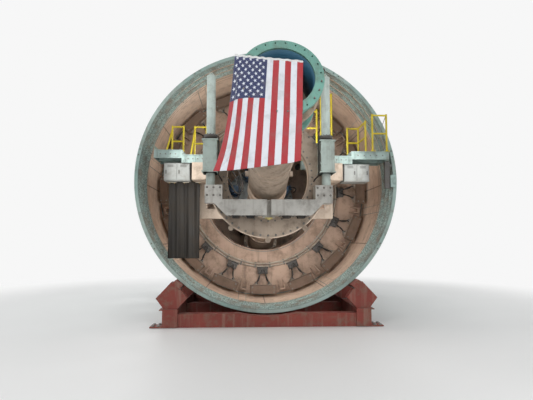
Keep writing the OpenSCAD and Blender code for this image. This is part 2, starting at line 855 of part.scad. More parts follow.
// Auger flight: a helical ribbon wound on the shaft
module auger_flight() {
  steps = 16;
  turns = floor((auger_rear - auger_front - 2 * flight_t) / flight_pitch);
  n = steps * turns;
  r_in = shaft_r / cos(180 / steps) + seat;
  z0 = (auger_rear - auger_front - turns * flight_pitch) / 2;
  function p(i, r, dz) = [
    r * cos(360 / steps * i), r * sin(360 / steps * i),
    z0 + flight_pitch * i / steps + dz
  ];
  points = [
    for (i = [0 : n])
      each [
        p(i, r_in, -flight_t / 2), p(i, flight_r, -flight_t / 2),
        p(i, flight_r, flight_t / 2), p(i, r_in, flight_t / 2)
      ]
  ];
  sides = [
    for (i = [0 : n - 1], k = [0 : 3])
      let (a = 4 * i + k, b = 4 * i + (k + 1) % 4)
        each [[a, a + 4, b], [b, a + 4, b + 4]]
  ];
  ends = [[0, 1, 2], [0, 2, 3], [4 * n, 4 * n + 2, 4 * n + 1], [4 * n, 4 * n + 3, 4 * n + 2]];
  color([0.42, 0.41, 0.38])
    on_auger(auger_front) polyhedron(points = points, faces = concat(sides, ends));
}

// Runway beams from the ring girder back to the erector, with the tie that cradles the conveyor
module erector_runway() {
  plate = 30;
  tie_t = 420;
  tie_len = 220;
  tie_z = screw_z(tie_t + tie_len / 2) - casing_r / cos(screw_incline);
  tie_h = 240;
  color([0.72, 0.66, 0.58]) {
    for (s = [-1, 1])
      mirror([s < 0 ? 1 : 0, 0, 0])
        difference() {
          span(runway_x, runway_x + runway_w, carriage_t + 10, web1_t - seat,
               runway_top - runway_h, runway_top);
          span(runway_x + plate, runway_x + runway_w + 1, carriage_t + 40, web1_t - 40,
               runway_top - runway_h + plate, runway_top - plate);
        }
    for (s = [-1, 1])
      mirror([s < 0 ? 1 : 0, 0, 0])
        span(runway_x, runway_x + 700, web1_t - 40, web1_t - seat,
             runway_top - runway_h - 200, runway_top + 200);
    difference() {
      union() {
        span(-runway_x - 200, runway_x + 200, tie_t, tie_t + tie_len, tie_z - tie_h + 120, tie_z + 120);
        for (s = [-1, 1])
          span(s * (runway_x + 110) - 90, s * (runway_x + 110) + 90, tie_t, tie_t + tie_len,
               tie_z, runway_top - runway_h + 1);
      }
      on_screw(screw_s(tie_t + tie_len) - 300) cylinder(r = casing_r + seat, h = 900);
    }
  }
}

// Fixed erector ring: channel ring, ears to the runway beams, hose ports and support rollers
module erector_carriage() {
  web = 60;
  port_d = 56;
  roller_c = rotor_r + roller_r + seat;
  color([0.70, 0.66, 0.60]) {
    at(carriage_t) rotate([-90, 0, 0])
      rotate_extrude()
        polygon([
          [carriage_bore, 0], [carriage_r, 0], [carriage_r, carriage_len],
          [carriage_r - 50, carriage_len], [carriage_r - 50, web], [carriage_bore + 50, web],
          [carriage_bore + 50, carriage_len], [carriage_bore, carriage_len]
        ]);
    for (s = [-1, 1])
      mirror([s < 0 ? 1 : 0, 0, 0])
        span(carriage_r - 45, runway_x, carriage_t + 10, carriage_t + carriage_len - 10,
             runway_top - runway_h + 20, runway_top - 20);
    for (r = hose_routes, p = [r[0], r[len(r) - 1]])
      bar([p[0], carriage_t + web - 1, p[2]], p, port_d);
    for (i = [0 : roller_count - 1])
      turned(360 / roller_count * i, carriage_t - turn_gap - 70, roller_c) {
        rotate([-90, 0, 0]) cylinder(r = roller_r, h = 60);
        rotate([-90, 0, 0]) cylinder(r = 22, h = turn_gap + 70 + 20);
        translate([-40, turn_gap + 72, -carriage_r / 20]) cube([80, 56, 120]);
      }
  }
}

// Erector drive: two motors on the front of the fixed ring
module erector_motors() {
  back_t = carriage_t + carriage_len;
  mount_r = (carriage_bore + carriage_r) / 2;
  color([0.22, 0.38, 0.52])
    for (a = [-125, 125])
      turned(a, back_t + seat, mount_r) {
        rotate([-90, 0, 0]) cylinder(d = 330, h = 60);
        rotate([-90, 0, 0]) cylinder(d = 240, h = 260);
        rotate([-90, 0, 0]) cylinder(d = 170, h = 430);
      }
}

// Turning ring: flange and the drum that runs inside the fixed ring
module erector_ring() {
  drum_out = carriage_bore - turn_gap;
  drum_in = drum_out - drum_wall;
  color([0.74, 0.72, 0.66])
    at(rotor_face) rotate([-90, 0, 0])
      rotate_extrude()
        polygon([
          [drum_in, 0], [rotor_r, 0], [rotor_r, rotor_t], [drum_out, rotor_t],
          [drum_out, rotor_t + 220], [drum_in, rotor_t + 220]
        ]);
}

// Column housings on the turning ring, bored for the guide tubes
module erector_columns() {
  gland_d = 300;
  color([0.66, 0.76, 0.72])
    for (s = [-1, 1])
      difference() {
        union() {
          span(s * column_x - column_w / 2, s * column_x + column_w / 2, column_t, rotor_face,
               column_foot, column_top);
          translate([s * column_x, yt(tube_t), axis_z + column_top]) cylinder(d = gland_d, h = gland_h);
        }
        translate([s * column_x, yt(tube_t), axis_z + column_foot - 1])
          cylinder(d = tube_d + 2 * tube_gap, h = column_top - column_foot + gland_h + 2);
      }
}

// Head beam: chamfered ends, centre slot with the gripper's jaw, boxes that take the guide tubes
module erector_beam() {
  chamfer = 270;
  slot_w = 100;
  jaw_w = 260;
  jaw_h = 45;
  box_w = 380;
  box_h = 315;
  top = -beam_in;
  bottom = -beam_in - beam_h;
  t0 = tube_t - beam_len / 2;
  color([0.68, 0.68, 0.66])
    difference() {
      union() {
        across(t0, beam_len)
          polygon([
            [-beam_half, top], [beam_half, top], [beam_half, bottom + chamfer],
            [beam_half - chamfer, bottom], [-beam_half + chamfer, bottom], [-beam_half, bottom + chamfer]
          ]);
        for (s = [-1, 1])
          span(s * (column_x - 83) - box_w / 2, s * (column_x - 83) + box_w / 2, t0, t0 + beam_len,
               top - 80, top + box_h);
        span(-jaw_w / 2, jaw_w / 2, tube_t - 80, tube_t + 120, bottom - jaw_h, bottom + 1);
      }
      span(-slot_w / 2, slot_w / 2, t0 - 1, t0 + 150, bottom - jaw_h - 1, top + 1);
    }
}

// Guide tubes: stand on the beam's end boxes and slide in the housings
module erector_tubes() {
  box_top = -beam_in + 315;
  color([0.72, 0.80, 0.78])
    for (s = [-1, 1])
      translate([s * column_x, yt(tube_t), axis_z + box_top])
        cylinder(d = tube_d, h = tube_top - box_top);
}

// One deck level: plate, edge frame and joists; s is the side, x0 to x1 its span
module deck_level(s, x0, x1, t0, t1, top) {
  edge = 20;
  joist_n = max(2, round((t1 - t0) / 600));
  mirror([s < 0 ? 1 : 0, 0, 0])
    difference() {
      span(x0, x1, t0, t1, top - deck_h, top);
      for (i = [0 : joist_n - 1])
        span(x0 + edge, x1 - edge,
             t0 + edge + (t1 - t0 - edge) / joist_n * i, t0 + (t1 - t0 - edge) / joist_n * (i + 1),
             top - deck_h - 1, top - deck_plate);
    }
}

// Work deck of one side: inner level over the runway beam, outer level beside it
module deck(s, outer_x) {
  deck_level(s, deck_x0, deck_x1, deck_t, deck_t + inner_len, deck_top);
  deck_level(s, deck_x1 - 20, outer_x, deck_t, deck_t + outer_len, deck_top + deck_step);
}

module deck_left() color([0.62, 0.70, 0.67]) deck(-1, deck_x3);

// The right deck also has a small platform beside the conveyor
module deck_right()
  color([0.62, 0.70, 0.67]) {
    deck(1, deck_x2);
    deck_level(1, deck_x0 - 490, deck_x0 + 20, rail_t0 - 80, rail_t0 + 180, deck_top);
  }

// Posts with top and middle rails between them, the posts a little thicker and higher
module rail_run(points, base, height) {
  thin = rail_d - 6;
  for (p = points) bar([p[0], p[1], base], [p[0], p[1], base + height + rail_d * 0.6], rail_d);
  for (i = [0 : len(points) - 2], f = [0.5, 1])
    bar([points[i][0], points[i][1], base + height * f],
        [points[i + 1][0], points[i + 1][1], base + height * f], thin);
}

// Brace from the head of a post down to a foot on the deck
module brace(x, t0, t1, base, height) {
  bar([x, t0, base + height - 60], [x, t1, base + 20], rail_d - 8);
  bar([x, t1, base], [x, t1, base + 40], rail_d);
}

// Station of the cross rails, and height of the rails over the inner and outer decks
rail_t0 = 550;
rail_low = 740;
rail_high = 850;

// Left handrail: cross runs ahead of the deck edge, with braces down to the edge
module handrail_left() {
  base = deck_top + deck_step;
  outer_x = deck_x3 - 286;
  inner_x = deck_x1 - 206;
  brace_t = deck_t + 80;
  color([0.86, 0.78, 0.08]) {
    rail_run([[-outer_x, rail_t0], [-deck_x1 - 75, rail_t0]], base, rail_low);
    brace(-outer_x, rail_t0, brace_t, base, rail_low);
    rail_run([[-inner_x, rail_t0], [-deck_x0 - 130, rail_t0]], deck_top, rail_high);
    brace(-inner_x, rail_t0, brace_t, deck_top, rail_high);
  }
}

// Right handrail: cross run, side run and the end post at the outer corner
module handrail_right() {
  base = deck_top + deck_step;
  corner_x = deck_x2 - 526;
  end_t = deck_t + 35;
  color([0.86, 0.78, 0.08]) {
    rail_run([[deck_x1 + 75, rail_t0], [corner_x, rail_t0], [corner_x, deck_t + 110]], base, rail_low);
    rail_run([[deck_x2 - 380, end_t], [deck_x2 - 40, end_t]], base, rail_low + 140);
  }
}

// Guard frames beside the conveyor, on the right inner deck and its platform
module guard_frame() {
  // Posts across the deck from its inner edge, height of the top, lower rails
  table = [
    [30, 300, 2300, [940, 1400, 1860]],
    [-420, -80, 1880, [940, 1400]]
  ];
  color([0.86, 0.78, 0.08])
    for (row = table) {
      posts = [deck_x0 + row[0], deck_x0 + row[1]];
      for (x = posts) bar([x, rail_t0, deck_top], [x, rail_t0, row[2]], rail_d);
      for (z = concat(row[3], [row[2] - rail_d]))
        bar([posts[0], rail_t0, z], [posts[1], rail_t0, z], rail_d - 6);
    }
}

// Lower edge of the cabinets, which carry the curtain
cabinet_low = -60;

// Cabinets hung under the outer decks
module deck_cabinets() {
  gap = 60;
  width = 600;
  color([0.55, 0.60, 0.60])
    for (s = [-1, 1])
      mirror([s < 0 ? 1 : 0, 0, 0])
        span(runway_x + runway_w + gap, runway_x + runway_w + gap + width, -200, 300,
             cabinet_low, runway_top - seat);
}

// Stations of the cradle's cross beams
cradle_t1 = edge_t - cradle_short;
function cross_t(i) = cradle_t0 + 150 + (cradle_t1 - cradle_t0 - 300) / (cross_count - 1) * i;

// Cradle base: long beams and the cross beams between them, hollowed under the shield
module cradle_base() {
  cross_w = 260;
  cross_h = 300;
  saddle_gap = 20;
  color([0.55, 0.22, 0.17]) {
    for (s = [-1, 1])
      mirror([s < 0 ? 1 : 0, 0, 0])
        translate([cradle_x - cradle_w / 2, yt(cradle_t0), 0])
          cube([cradle_w, cradle_t1 - cradle_t0, cradle_h]);
    difference() {
      for (i = [0 : cross_count - 1])
        translate([-cradle_x, yt(cross_t(i)) - cross_w / 2, 0]) cube([2 * cradle_x, cross_w, cross_h]);
      disc_y(cradle_t0 - 10, cradle_t1 - cradle_t0 + 20, front_r + saddle_gap);
    }
  }
}

// Cradle gussets: pairs of plates that stand on the long beams and hold the rails
module cradle_gussets() {
  gusset_t = 60;
  foot = cradle_h - axis_z;
  // Corner of a gusset's top, at w along the rail's underside
  function top_p(w) =
    (front_r + 2 * seat + rail_t) * [sin(cradle_a), -cos(cradle_a)] + w * [cos(cradle_a), sin(cradle_a)];
  color([0.56, 0.24, 0.19])
    for (i = [0 : cross_count - 1], s = [-1, 1], d = [-1, 1])
      mirror([s < 0 ? 1 : 0, 0, 0])
        across(cross_t(i) + d * 90 - gusset_t / 2, gusset_t)
          polygon([
            [cradle_x - cradle_w / 2 + 10, foot], [cradle_x + cradle_w / 2 - 10, foot],
            [cradle_x + cradle_w / 2 + 180, foot + 250],
            top_p(rail_w * 0.7), top_p(-rail_w * 0.7),
            [cradle_x - cradle_w / 2 - 220, foot + 250]
          ]);
}

// Cradle rails: long bars whose inner faces touch the shield
module cradle_rails() {
  color([0.58, 0.26, 0.20])
    for (s = [-1, 1])
      turned(180 - s * cradle_a, cradle_t0, front_r + seat)
        translate([-rail_w / 2, 0, 0]) cube([rail_w, cradle_t1 - cradle_t0, rail_t]);
}

function lerp3(a, b, u) = a * (1 - u) + b * u;
// Point on a smooth curve through the middles of the route's stretches
function smooth(r, i, u) =
  let (a = (r[i] + r[i + 1]) / 2, b = r[i + 1], c = (r[i + 1] + r[i + 2]) / 2)
    lerp3(lerp3(a, b, u), lerp3(b, c, u), u);
function route_points(r, per) = concat(
  [r[0]],
  [for (i = [0 : len(r) - 3], k = [0 : per - 1]) smooth(r, i, k / per)],
  [(r[len(r) - 2] + r[len(r) - 1]) / 2, r[len(r) - 1]]
);

// Tube swept along points, with rings of sides corners
module sweep(points, d, sides) {
  n = len(points);
  function dir(i) = let (v = points[min(i + 1, n - 1)] - points[max(i - 1, 0)]) v / norm(v);
  function side_v(i) = let (v = cross(dir(i), [0, 1, 0.02])) v / norm(v);
  function ring_p(i) =
    let (u = side_v(i), w = cross(dir(i), u))
      [for (k = [0 : sides - 1]) points[i] + d / 2 * (u * cos(360 / sides * k) + w * sin(360 / sides * k))];
  verts = [for (i = [0 : n - 1]) each ring_p(i)];
  walls = [
    for (i = [0 : n - 2], k = [0 : sides - 1])
      let (a = i * sides + k, b = i * sides + (k + 1) % sides)
        each [[a, b, a + sides], [b, b + sides, a + sides]]
  ];
  caps = [[for (k = [sides - 1 : -1 : 0]) k], [for (k = [0 : sides - 1]) (n - 1) * sides + k]];
  polyhedron(points = verts, faces = concat(walls, caps));
}

// Hydraulic hose that hangs in the wider loop beside the conveyor
module hose_loop_a()
  color([0.06, 0.06, 0.06])
    at(0) sweep(route_points(hose_routes[0], 4), hose_d, 8);

// Hydraulic hose that hangs in the tighter loop next to it
module hose_loop_b()
  color([0.06, 0.06, 0.06])
    at(0) sweep(route_points(hose_routes[1], 4), hose_d, 8);

// Dark curtain that hangs from the left deck
module side_curtain() {
  inner_x = runway_x + 150;
  width = 730;
  drop = 1800;
  cloth_t = 50;
  thick = 12;
  color([0.16, 0.15, 0.13])
    span(-inner_x - width, -inner_x, cloth_t, cloth_t + thick, cabinet_low - drop, cabinet_low - seat);
}

// Striped flag: lies on the rear flange's face, then hangs from its lower edge
module flag_cloth() {
  lie_top = 300;
  drop = 430;
  left_x = -760;
  width = 1080;
  c = cos(screw_incline);
  sn = sin(screw_incline);
  // Point at distance u up the flange's face and s behind it, as [y, z]
  function fp(u, s) = [yt(flange_st) - s * c + u * sn, axis_z + screw_z(flange_st) + s * sn + u * c];
  low = fp(-rear_flange_r, seat);
  color([0.60, 0.12, 0.14])
    translate([left_x, 0, 0]) rotate([90, 0, 90])
      linear_extrude(width)
        polygon([
          fp(lie_top, seat), fp(-rear_flange_r, seat), [low[0], axis_z - drop],
          [low[0] - flag_t, axis_z - drop], [low[0] - flag_t, low[1]], fp(lie_top, seat + flag_t)
        ]);
}

front_shield();
bulkhead();
main_drive();
drive_motors();
man_lock();
lock_door();
mid_shield();
ring_girder();
girder_webs();
shoe_brackets();
thrust_barrels();
thrust_rods();
thrust_shoes();
steering_cylinders();
tail_shield();
tail_seals();
lifting_lugs();
cutterhead_disc();
cutterhead_tools();
cutterhead_hub();
screw_casing();
screw_flanges();
screw_housing();
auger_shaft();
auger_flight();
erector_runway();
erector_carriage();
erector_motors();
erector_ring();
erector_columns();
erector_beam();
erector_tubes();
deck_left();
deck_right();
handrail_left();
handrail_right();
guard_frame();
deck_cabinets();
cradle_base();
cradle_gussets();
cradle_rails();
hose_loop_a();
hose_loop_b();
side_curtain();
flag_cloth();
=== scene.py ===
"""Tunnel boring machine on its launch cradle, seen from behind, in metres: X right, Y forward, Z up."""
import math

import bpy
import numpy as np
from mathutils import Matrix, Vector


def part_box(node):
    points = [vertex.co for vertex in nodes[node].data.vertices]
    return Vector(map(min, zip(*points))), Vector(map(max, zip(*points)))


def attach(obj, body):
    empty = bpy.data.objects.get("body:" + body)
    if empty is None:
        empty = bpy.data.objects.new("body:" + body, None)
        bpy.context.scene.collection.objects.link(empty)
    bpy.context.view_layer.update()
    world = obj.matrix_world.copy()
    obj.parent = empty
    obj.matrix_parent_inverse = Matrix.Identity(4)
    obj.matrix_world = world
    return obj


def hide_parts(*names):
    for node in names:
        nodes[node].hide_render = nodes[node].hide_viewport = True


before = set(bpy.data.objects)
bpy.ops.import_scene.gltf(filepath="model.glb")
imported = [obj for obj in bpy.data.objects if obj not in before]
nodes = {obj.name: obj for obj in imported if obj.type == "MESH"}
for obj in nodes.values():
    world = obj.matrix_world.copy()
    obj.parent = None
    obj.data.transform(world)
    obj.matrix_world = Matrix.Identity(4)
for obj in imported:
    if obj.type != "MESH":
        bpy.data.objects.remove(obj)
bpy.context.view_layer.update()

# Camera: stands at eye height behind the tail, left of the axis,
# turned a little to the right and up. The horizon lies below the middle of the image.
lens = bpy.data.cameras.new("camera")
lens.lens, lens.sensor_width, lens.clip_end = 30.4, 36, 200
camera = bpy.data.objects.new("camera", lens)
camera.location = (-0.5, -13.309, 2.014)
camera.rotation_euler = (math.radians(94.8), 0, math.radians(-2.6))
link = bpy.context.scene.collection.objects.link
link(camera)
bpy.context.scene.camera = camera
bpy.context.scene.view_settings.view_transform = "Standard"

# Studio: a pale floor that curves up into a backdrop far around the machine.
# Large soft lights stand behind the tail, above, at both sides and in front of the cutterhead.


def shader(name, metal=0.0):
    """A new material: (material, node tree, principled shader, object coordinates)."""
    m = bpy.data.materials.new(name)
    m.use_nodes = True
    t = m.node_tree
    t.nodes["Principled BSDF"].inputs["Metallic"].default_value = metal
    return m, t, t.nodes["Principled BSDF"], t.nodes.new("ShaderNodeTexCoord").outputs["Object"]


def put(t, kind, *ins, **sets):
    """A shader node; ins are (input, value or socket) pairs. Returns its first output."""
    n = t.nodes.new("ShaderNode" + kind)
    for k, v in sets.items():
        setattr(n, k, v)
    for k, v in ins:
        if isinstance(v, bpy.types.NodeSocket):
            t.links.new(v, n.inputs[k])
        else:
            n.inputs[k].default_value = v
    return n.outputs[0]


def noise(t, where, scale, detail=6, rough=0.6, stretch=None):
    """Fractal noise from 0 to 1, stretched by a factor on each axis."""
    if stretch:
        where = put(t, "Mapping", (0, where), (3, stretch))
    return put(t, "TexNoise", ("Vector", where), ("Scale", scale), ("Detail", detail), ("Roughness", rough))


def ramp(t, value, low, high, start=0.0, end=1.0):
    """start below low, end above high, and a smooth step between."""
    return put(t, "MapRange", (0, value), (1, low), (2, high), (3, start), (4, end),
               interpolation_type="SMOOTHSTEP")


def calc(t, kind, a, b=0.0, c=0.0):
    return put(t, "Math", (0, a), (1, b), (2, c), operation=kind)


def mix(t, part, a, b, kind="MIX"):
    """Colour a where part is 0, b where it is 1."""
    n = t.nodes.new("ShaderNodeMix")
    n.data_type, n.blend_type = "RGBA", kind
    for k, v in ((0, part), (6, a), (7, b)):
        if isinstance(v, bpy.types.NodeSocket):
            t.links.new(v, n.inputs[k])
        elif k:
            n.inputs[k].default_value = (*v, 1)
        else:
            n.inputs[k].default_value = v
    return n.outputs[2]


def wire(t, b, colour=None, rough=None, height=None, depth=0.002, strength=1.0):
    """Links colour, roughness and a bump from a height to the principled shader."""
    if colour:
        t.links.new(colour, b.inputs["Base Color"])
    if rough:
        t.links.new(rough, b.inputs["Roughness"])
    if height:
        t.links.new(put(t, "Bump", ("Strength", strength), ("Distance", depth), ("Height", height)),
                    b.inputs["Normal"])


def length(t, vector):
    """How long a vector is."""
    n = t.nodes.new("ShaderNodeVectorMath")
    n.operation = "LENGTH"
    t.links.new(vector, n.inputs[0])
    return n.outputs["Value"]


def seen_directly(t):
    """1 for rays of the camera, of reflections and through glass, 0 for those of soft light."""
    ray = t.nodes.new("ShaderNodeLightPath").outputs
    bent = calc(t, "MAXIMUM", ray["Is Glossy Ray"], ray["Is Transmission Ray"])
    return calc(t, "MAXIMUM", ray["Is Camera Ray"], bent)


def net(rows, cols, closed=True):
    """Quads of a grid of points; closed joins the last column to the first."""
    r, c = np.meshgrid(np.arange(rows - 1), np.arange(cols if closed else cols - 1), indexing="ij")
    a, b = r * cols + c, r * cols + (c + 1) % cols
    return np.stack([a, b, b + cols, a + cols], -1).reshape(-1, 4)


def piece(name, surface, finish, body=None, smooth=True):
    """A mesh object from (points, quads) that rides on a body, or stands in the studio."""
    me = bpy.data.meshes.new(name)
    me.from_pydata(np.asarray(surface[0]).tolist(), [], np.asarray(surface[1]).tolist())
    me.materials.append(finish)
    me.polygons.foreach_set("use_smooth", np.full(len(me.polygons), smooth))
    me.update()
    o = bpy.data.objects.new(name, me)
    link(o)
    if body:
        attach(o, body)
    return o


floor_finish, t, b, where = shader("studio_floor")
b.inputs["Base Color"].default_value = (0.82, 0.82, 0.81, 1)
wire(t, b, rough=ramp(t, noise(t, where, 0.6, 4), 0.3, 0.7, 0.55, 0.7))
# From 7.5 m to 12.5 m off it fades into the backdrop's even glow
backdrop = 0.93
far = calc(t, "MULTIPLY", seen_directly(t), ramp(t, length(t, where), 7.5, 12.5))
glow = put(t, "Emission", ("Color", (1, 1, 1, 1)), ("Strength", backdrop))
t.links.new(put(t, "MixShader", (0, far), (1, b.outputs[0]), (2, glow)),
            t.nodes["Material Output"].inputs["Surface"])
# A flat disc that bends up along a quarter circle, 2 mm below the cradle
flat_r, bend_r, steps, sides = 60, 25, 33, 96
u, v = np.meshgrid(np.arange(sides) * 2 * math.pi / sides, np.linspace(0, 1, steps))
bend = np.clip(2 * v - 1, 0, 1) * math.pi / 2
out = flat_r * np.clip(2 * v, 0.001, 1) + bend_r * np.sin(bend)
dish = np.stack([out * np.cos(u), out * np.sin(u), bend_r * (1 - np.cos(bend)) - 0.002], -1)
floor = piece("studio_floor", (dish.reshape(-1, 3), net(steps, sides)), floor_finish)

world = bpy.data.worlds.new("studio")
world.use_nodes = True
sky = world.node_tree
sky.nodes["Background"].inputs[1].default_value = 1.0
shade = mix(sky, seen_directly(sky), (0.342, 0.349, 0.36), (backdrop, backdrop, backdrop))
sky.links.new(shade, sky.nodes["Background"].inputs[0])
bpy.context.scene.world = world
# Name, place, what it points at, size, power
for name, at, aim, size, watts in (
    ("key", (-9, -17, 12), (0, -3, 3.2), 8, 760),
    ("tail_fill", (3.5, -15, 5), (0, 0, 3.2), 6, 330),
    ("tail_glow", (0.0, -3.0, 3.4), (0, 2.5, 3.4), 4.6, 70),
    ("wall_high_left", (-0.9, -1.9, 4.3), (-2.4, -1.9, 5.8), 0.9, 17),
    ("wall_high_right", (0.9, -1.9, 4.3), (2.4, -1.9, 5.8), 0.9, 17),
    ("wall_low_left", (-0.9, -1.9, 2.5), (-2.4, -1.9, 1.0), 0.9, 15),
    ("wall_low_right", (0.9, -1.9, 2.5), (2.4, -1.9, 1.0), 0.9, 14),
    ("work_inner", (0.0, -1.7, 1.75), (0, 1.5, 2.4), 0.7, 22),
    ("top", (0, 0, 17), (0, 0.5, 3), 14, 800),
    ("left", (-17, 2, 9), (0, 1, 3), 10, 480),
    ("right", (17, 2, 9), (0, 1, 3), 10, 540),
    ("front", (-5, 20, 9), (0, 5, 3), 9, 800),
):
    lamp = bpy.data.lights.new(name, "AREA")
    lamp.shape, lamp.size, lamp.energy = "DISK", size, watts
    o = bpy.data.objects.new(name, lamp)
    o.location = at
    n = np.array(aim, float) - at
    o.rotation_euler = (math.acos(-n[2] / np.linalg.norm(n)), 0, math.atan2(n[1], n[0]) - math.pi / 2)
    o.visible_camera = False
    link(o)

# Hydraulic hoses: two black rubber hoses with woven covers, 44 mm thick, that leave ports
# in the fixed erector ring, hang in open loops beside the conveyor and go back into the ring.
hose_finish, t, b, where = shader("hose_rubber")
b.inputs["Base Color"].default_value = (0.018, 0.018, 0.019, 1)
b.inputs["Specular IOR Level"].default_value = 0.35
grit = noise(t, where, 60, 5, 0.7)
wire(t, b,
     mix(t, ramp(t, noise(t, where, 5, 6), 0.42, 0.66, 0, 0.6), (0.018, 0.018, 0.019), (0.11, 0.09, 0.07)),
     ramp(t, grit, 0.3, 0.7, 0.42, 0.62), grit, 0.0015, 0.6)
# Where the tail's rear edge and the machine's axis lie; stations count forward from that edge
tail_y, axis_z = -2.649052, 3.4
# Points of each route, from the machine's axis and the tail's rear edge, in millimetres
hose_routes = {
    "hose_loop_a": [(-1110, -60, 400), (-1110, 10, 400), (-930, 60, 330), (-720, 70, 60), (-640, 70, -260),
                    (-710, 60, -480), (-860, 50, -430), (-960, 50, -200), (-1085, 10, 60), (-1085, -60, 60)],
    "hose_loop_b": [(-1090, -60, 480), (-1090, 0, 480), (-840, 10, 420), (-640, 0, 160), (-570, 0, -200),
                    (-640, 0, -360), (-780, 0, -300), (-880, 0, -60), (-1080, 0, 190), (-1080, -60, 190)],
}


def rounded(points, per):
    """Quadratic curves p = (1-u)²a + 2u(1-u)b + u²c between the middles of a route's stretches."""
    p = np.array(points, float)
    a, m, c = (p[:-2] + p[1:-1]) / 2, p[1:-1], (p[1:-1] + p[2:]) / 2
    u = (np.arange(per) / per)[None, :, None]
    mid = (1 - u) ** 2 * a[:, None] + 2 * u * (1 - u) * m[:, None] + u**2 * c[:, None]
    return np.vstack([p[:1], mid.reshape(-1, 3), (p[-2:-1] + p[-1:]) / 2, p[-1:]])


for name, route in hose_routes.items():
    points = rounded(route, 4) * 0.001 + [0, tail_y, axis_z]
    line = bpy.data.curves.new(name + "_rubber", "CURVE")
    line.dimensions, line.bevel_resolution, line.resolution_u = "3D", 5, 3
    line.bevel_depth = 0.022
    spline = line.splines.new("POLY")
    spline.points.add(len(points) - 1)
    spline.points.foreach_set("co", np.hstack([points, np.ones((len(points), 1))]).ravel())
    spline.use_smooth = True
    line.materials.append(hose_finish)
    hose = bpy.data.objects.new(name + "_rubber", line)
    link(hose)
    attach(hose, "shield")
    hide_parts(name)


# Front and middle shields: rolled steel plate welded into cylinders, painted grey-green outside.
# Handling and welding have left dark runs, bare spots of rust and pale dust.


def painted(name, base, rough=0.5, dirty=0.45, runs=0.4, rust=0.5, dirt=(0.1, 0.075, 0.055), size=1.0,
            fleck=0.3):
    """Worn paint: large tone patches, grime, vertical runs and rust flecks on a base colour."""
    m, t, b, where = shader(name)
    patch = noise(t, where, 0.8 * size, 4, 0.55)
    grime = noise(t, where, 4.1 * size, 9, 0.68)
    spot = noise(t, where, 21 * size, 7, 0.74)
    run = noise(t, where, 2.1 * size, 7, 0.62, (3.6, 3.6, 0.22))
    tone = mix(t, ramp(t, patch, 0.3, 0.7), [c * 0.8 for c in base], [min(c * 1.1, 1) for c in base])
    tone = mix(t, ramp(t, grime, 0.44, 0.7, 0, dirty), tone, dirt)
    tone = mix(t, ramp(t, run, 0.5, 0.74, 0, runs), tone, [c * 1.5 for c in dirt])
    bare = calc(t, "MULTIPLY", ramp(t, spot, 0.6, 0.67), ramp(t, grime, 0.44, 0.6, 0, rust))
    tone = mix(t, bare, tone, (0.16, 0.065, 0.03))
    wire(t, b, tone, ramp(t, grime, 0.3, 0.7, rough - 0.08, rough + 0.22), spot, 0.003, fleck)
    return m


def dress(finish, *names):
    """Puts a finish on CAD nodes."""
    for n in names:
        for s in nodes[n].material_slots:
            s.material = finish


shell = painted("shell_paint", (0.33, 0.45, 0.42), 0.52, 0.5, 0.55, 0.6)
dress(shell, "front_shield", "mid_shield", "lifting_lugs")

# Weld beads along and round the plates and at the lugs' feet, and threaded plugs of the grout ports
bead, t, b, where = shader("weld_bead")
wire(t, b, mix(t, noise(t, where, 14, 5), (0.1, 0.09, 0.08), (0.24, 0.29, 0.27)), noise(t, where, 60, 4),
     noise(t, where, 90, 2), 0.004, 0.8)
dark_steel = painted("dark_steel", (0.085, 0.08, 0.075), 0.42, 0.4, 0.2, 0.5, size=2)


def joined(*surfaces):
    """Several surfaces as one."""
    first = np.cumsum([0] + [len(p) for p, q in surfaces[:-1]])
    return np.vstack([p for p, q in surfaces]), np.vstack([q + k for (p, q), k in zip(surfaces, first)])


def along(points, radius, sides=10, side=(0, 1, 0)):
    """Round bar along a line: points p + r (u cos a + w sin a), with u and w square to the line."""
    p = np.array(points, float)
    d = np.gradient(p, axis=0)
    d /= np.linalg.norm(d, axis=1, keepdims=True)
    u = np.cross(d, side)
    u /= np.linalg.norm(u, axis=1, keepdims=True)
    w = np.cross(d, u)
    a = np.arange(sides) * 2 * math.pi / sides
    ring = p[:, None] + radius * (u[:, None] * np.cos(a)[:, None] + w[:, None] * np.sin(a)[:, None])
    return ring.reshape(-1, 3), net(len(p), sides)


def polar(radius, t, a):
    """Points at a radius from the machine's axis, at angles from its top and at station t."""
    return np.stack([radius * np.sin(a), 0 * a + t + tail_y, axis_z + radius * np.cos(a)], -1)


def hoop(radius, t, r, first=0.0, span=360.0, n=180, sides=8):
    """Round bar bent to a circle about the machine's axis at station t."""
    a = np.radians(first + np.linspace(0, span, n + 1))
    return along(polar(radius, t, a), r, sides)


def rows_along(angles, radius, t0, t1, r):
    """Round bars along the machine at angles from the top."""
    parts = []
    for a in np.radians(angles):
        ends = [polar(radius, t, a) for t in (t0, (t0 + t1) / 2, t1)]
        parts.append(along(ends, r, 8, (math.cos(a), 0, -math.sin(a))))
    return joined(*parts)


def turned(profile, sides=24):
    """(radius, height) pairs turned about local Z: x = r cos a, y = r sin a."""
    p = np.array(profile, float)
    a = np.arange(sides) * 2 * math.pi / sides
    rings = np.stack([p[:, :1] * np.cos(a), p[:, :1] * np.sin(a), np.repeat(p[:, 1:], sides, 1)], -1)
    q = net(len(p), sides)
    # Faces look outward whichever way the profile runs
    inward = ((p[1:, 0] + p[:-1, 0]) * np.diff(p[:, 1])).sum() < 0
    return rings.reshape(-1, 3), q[:, ::-1] if inward else q


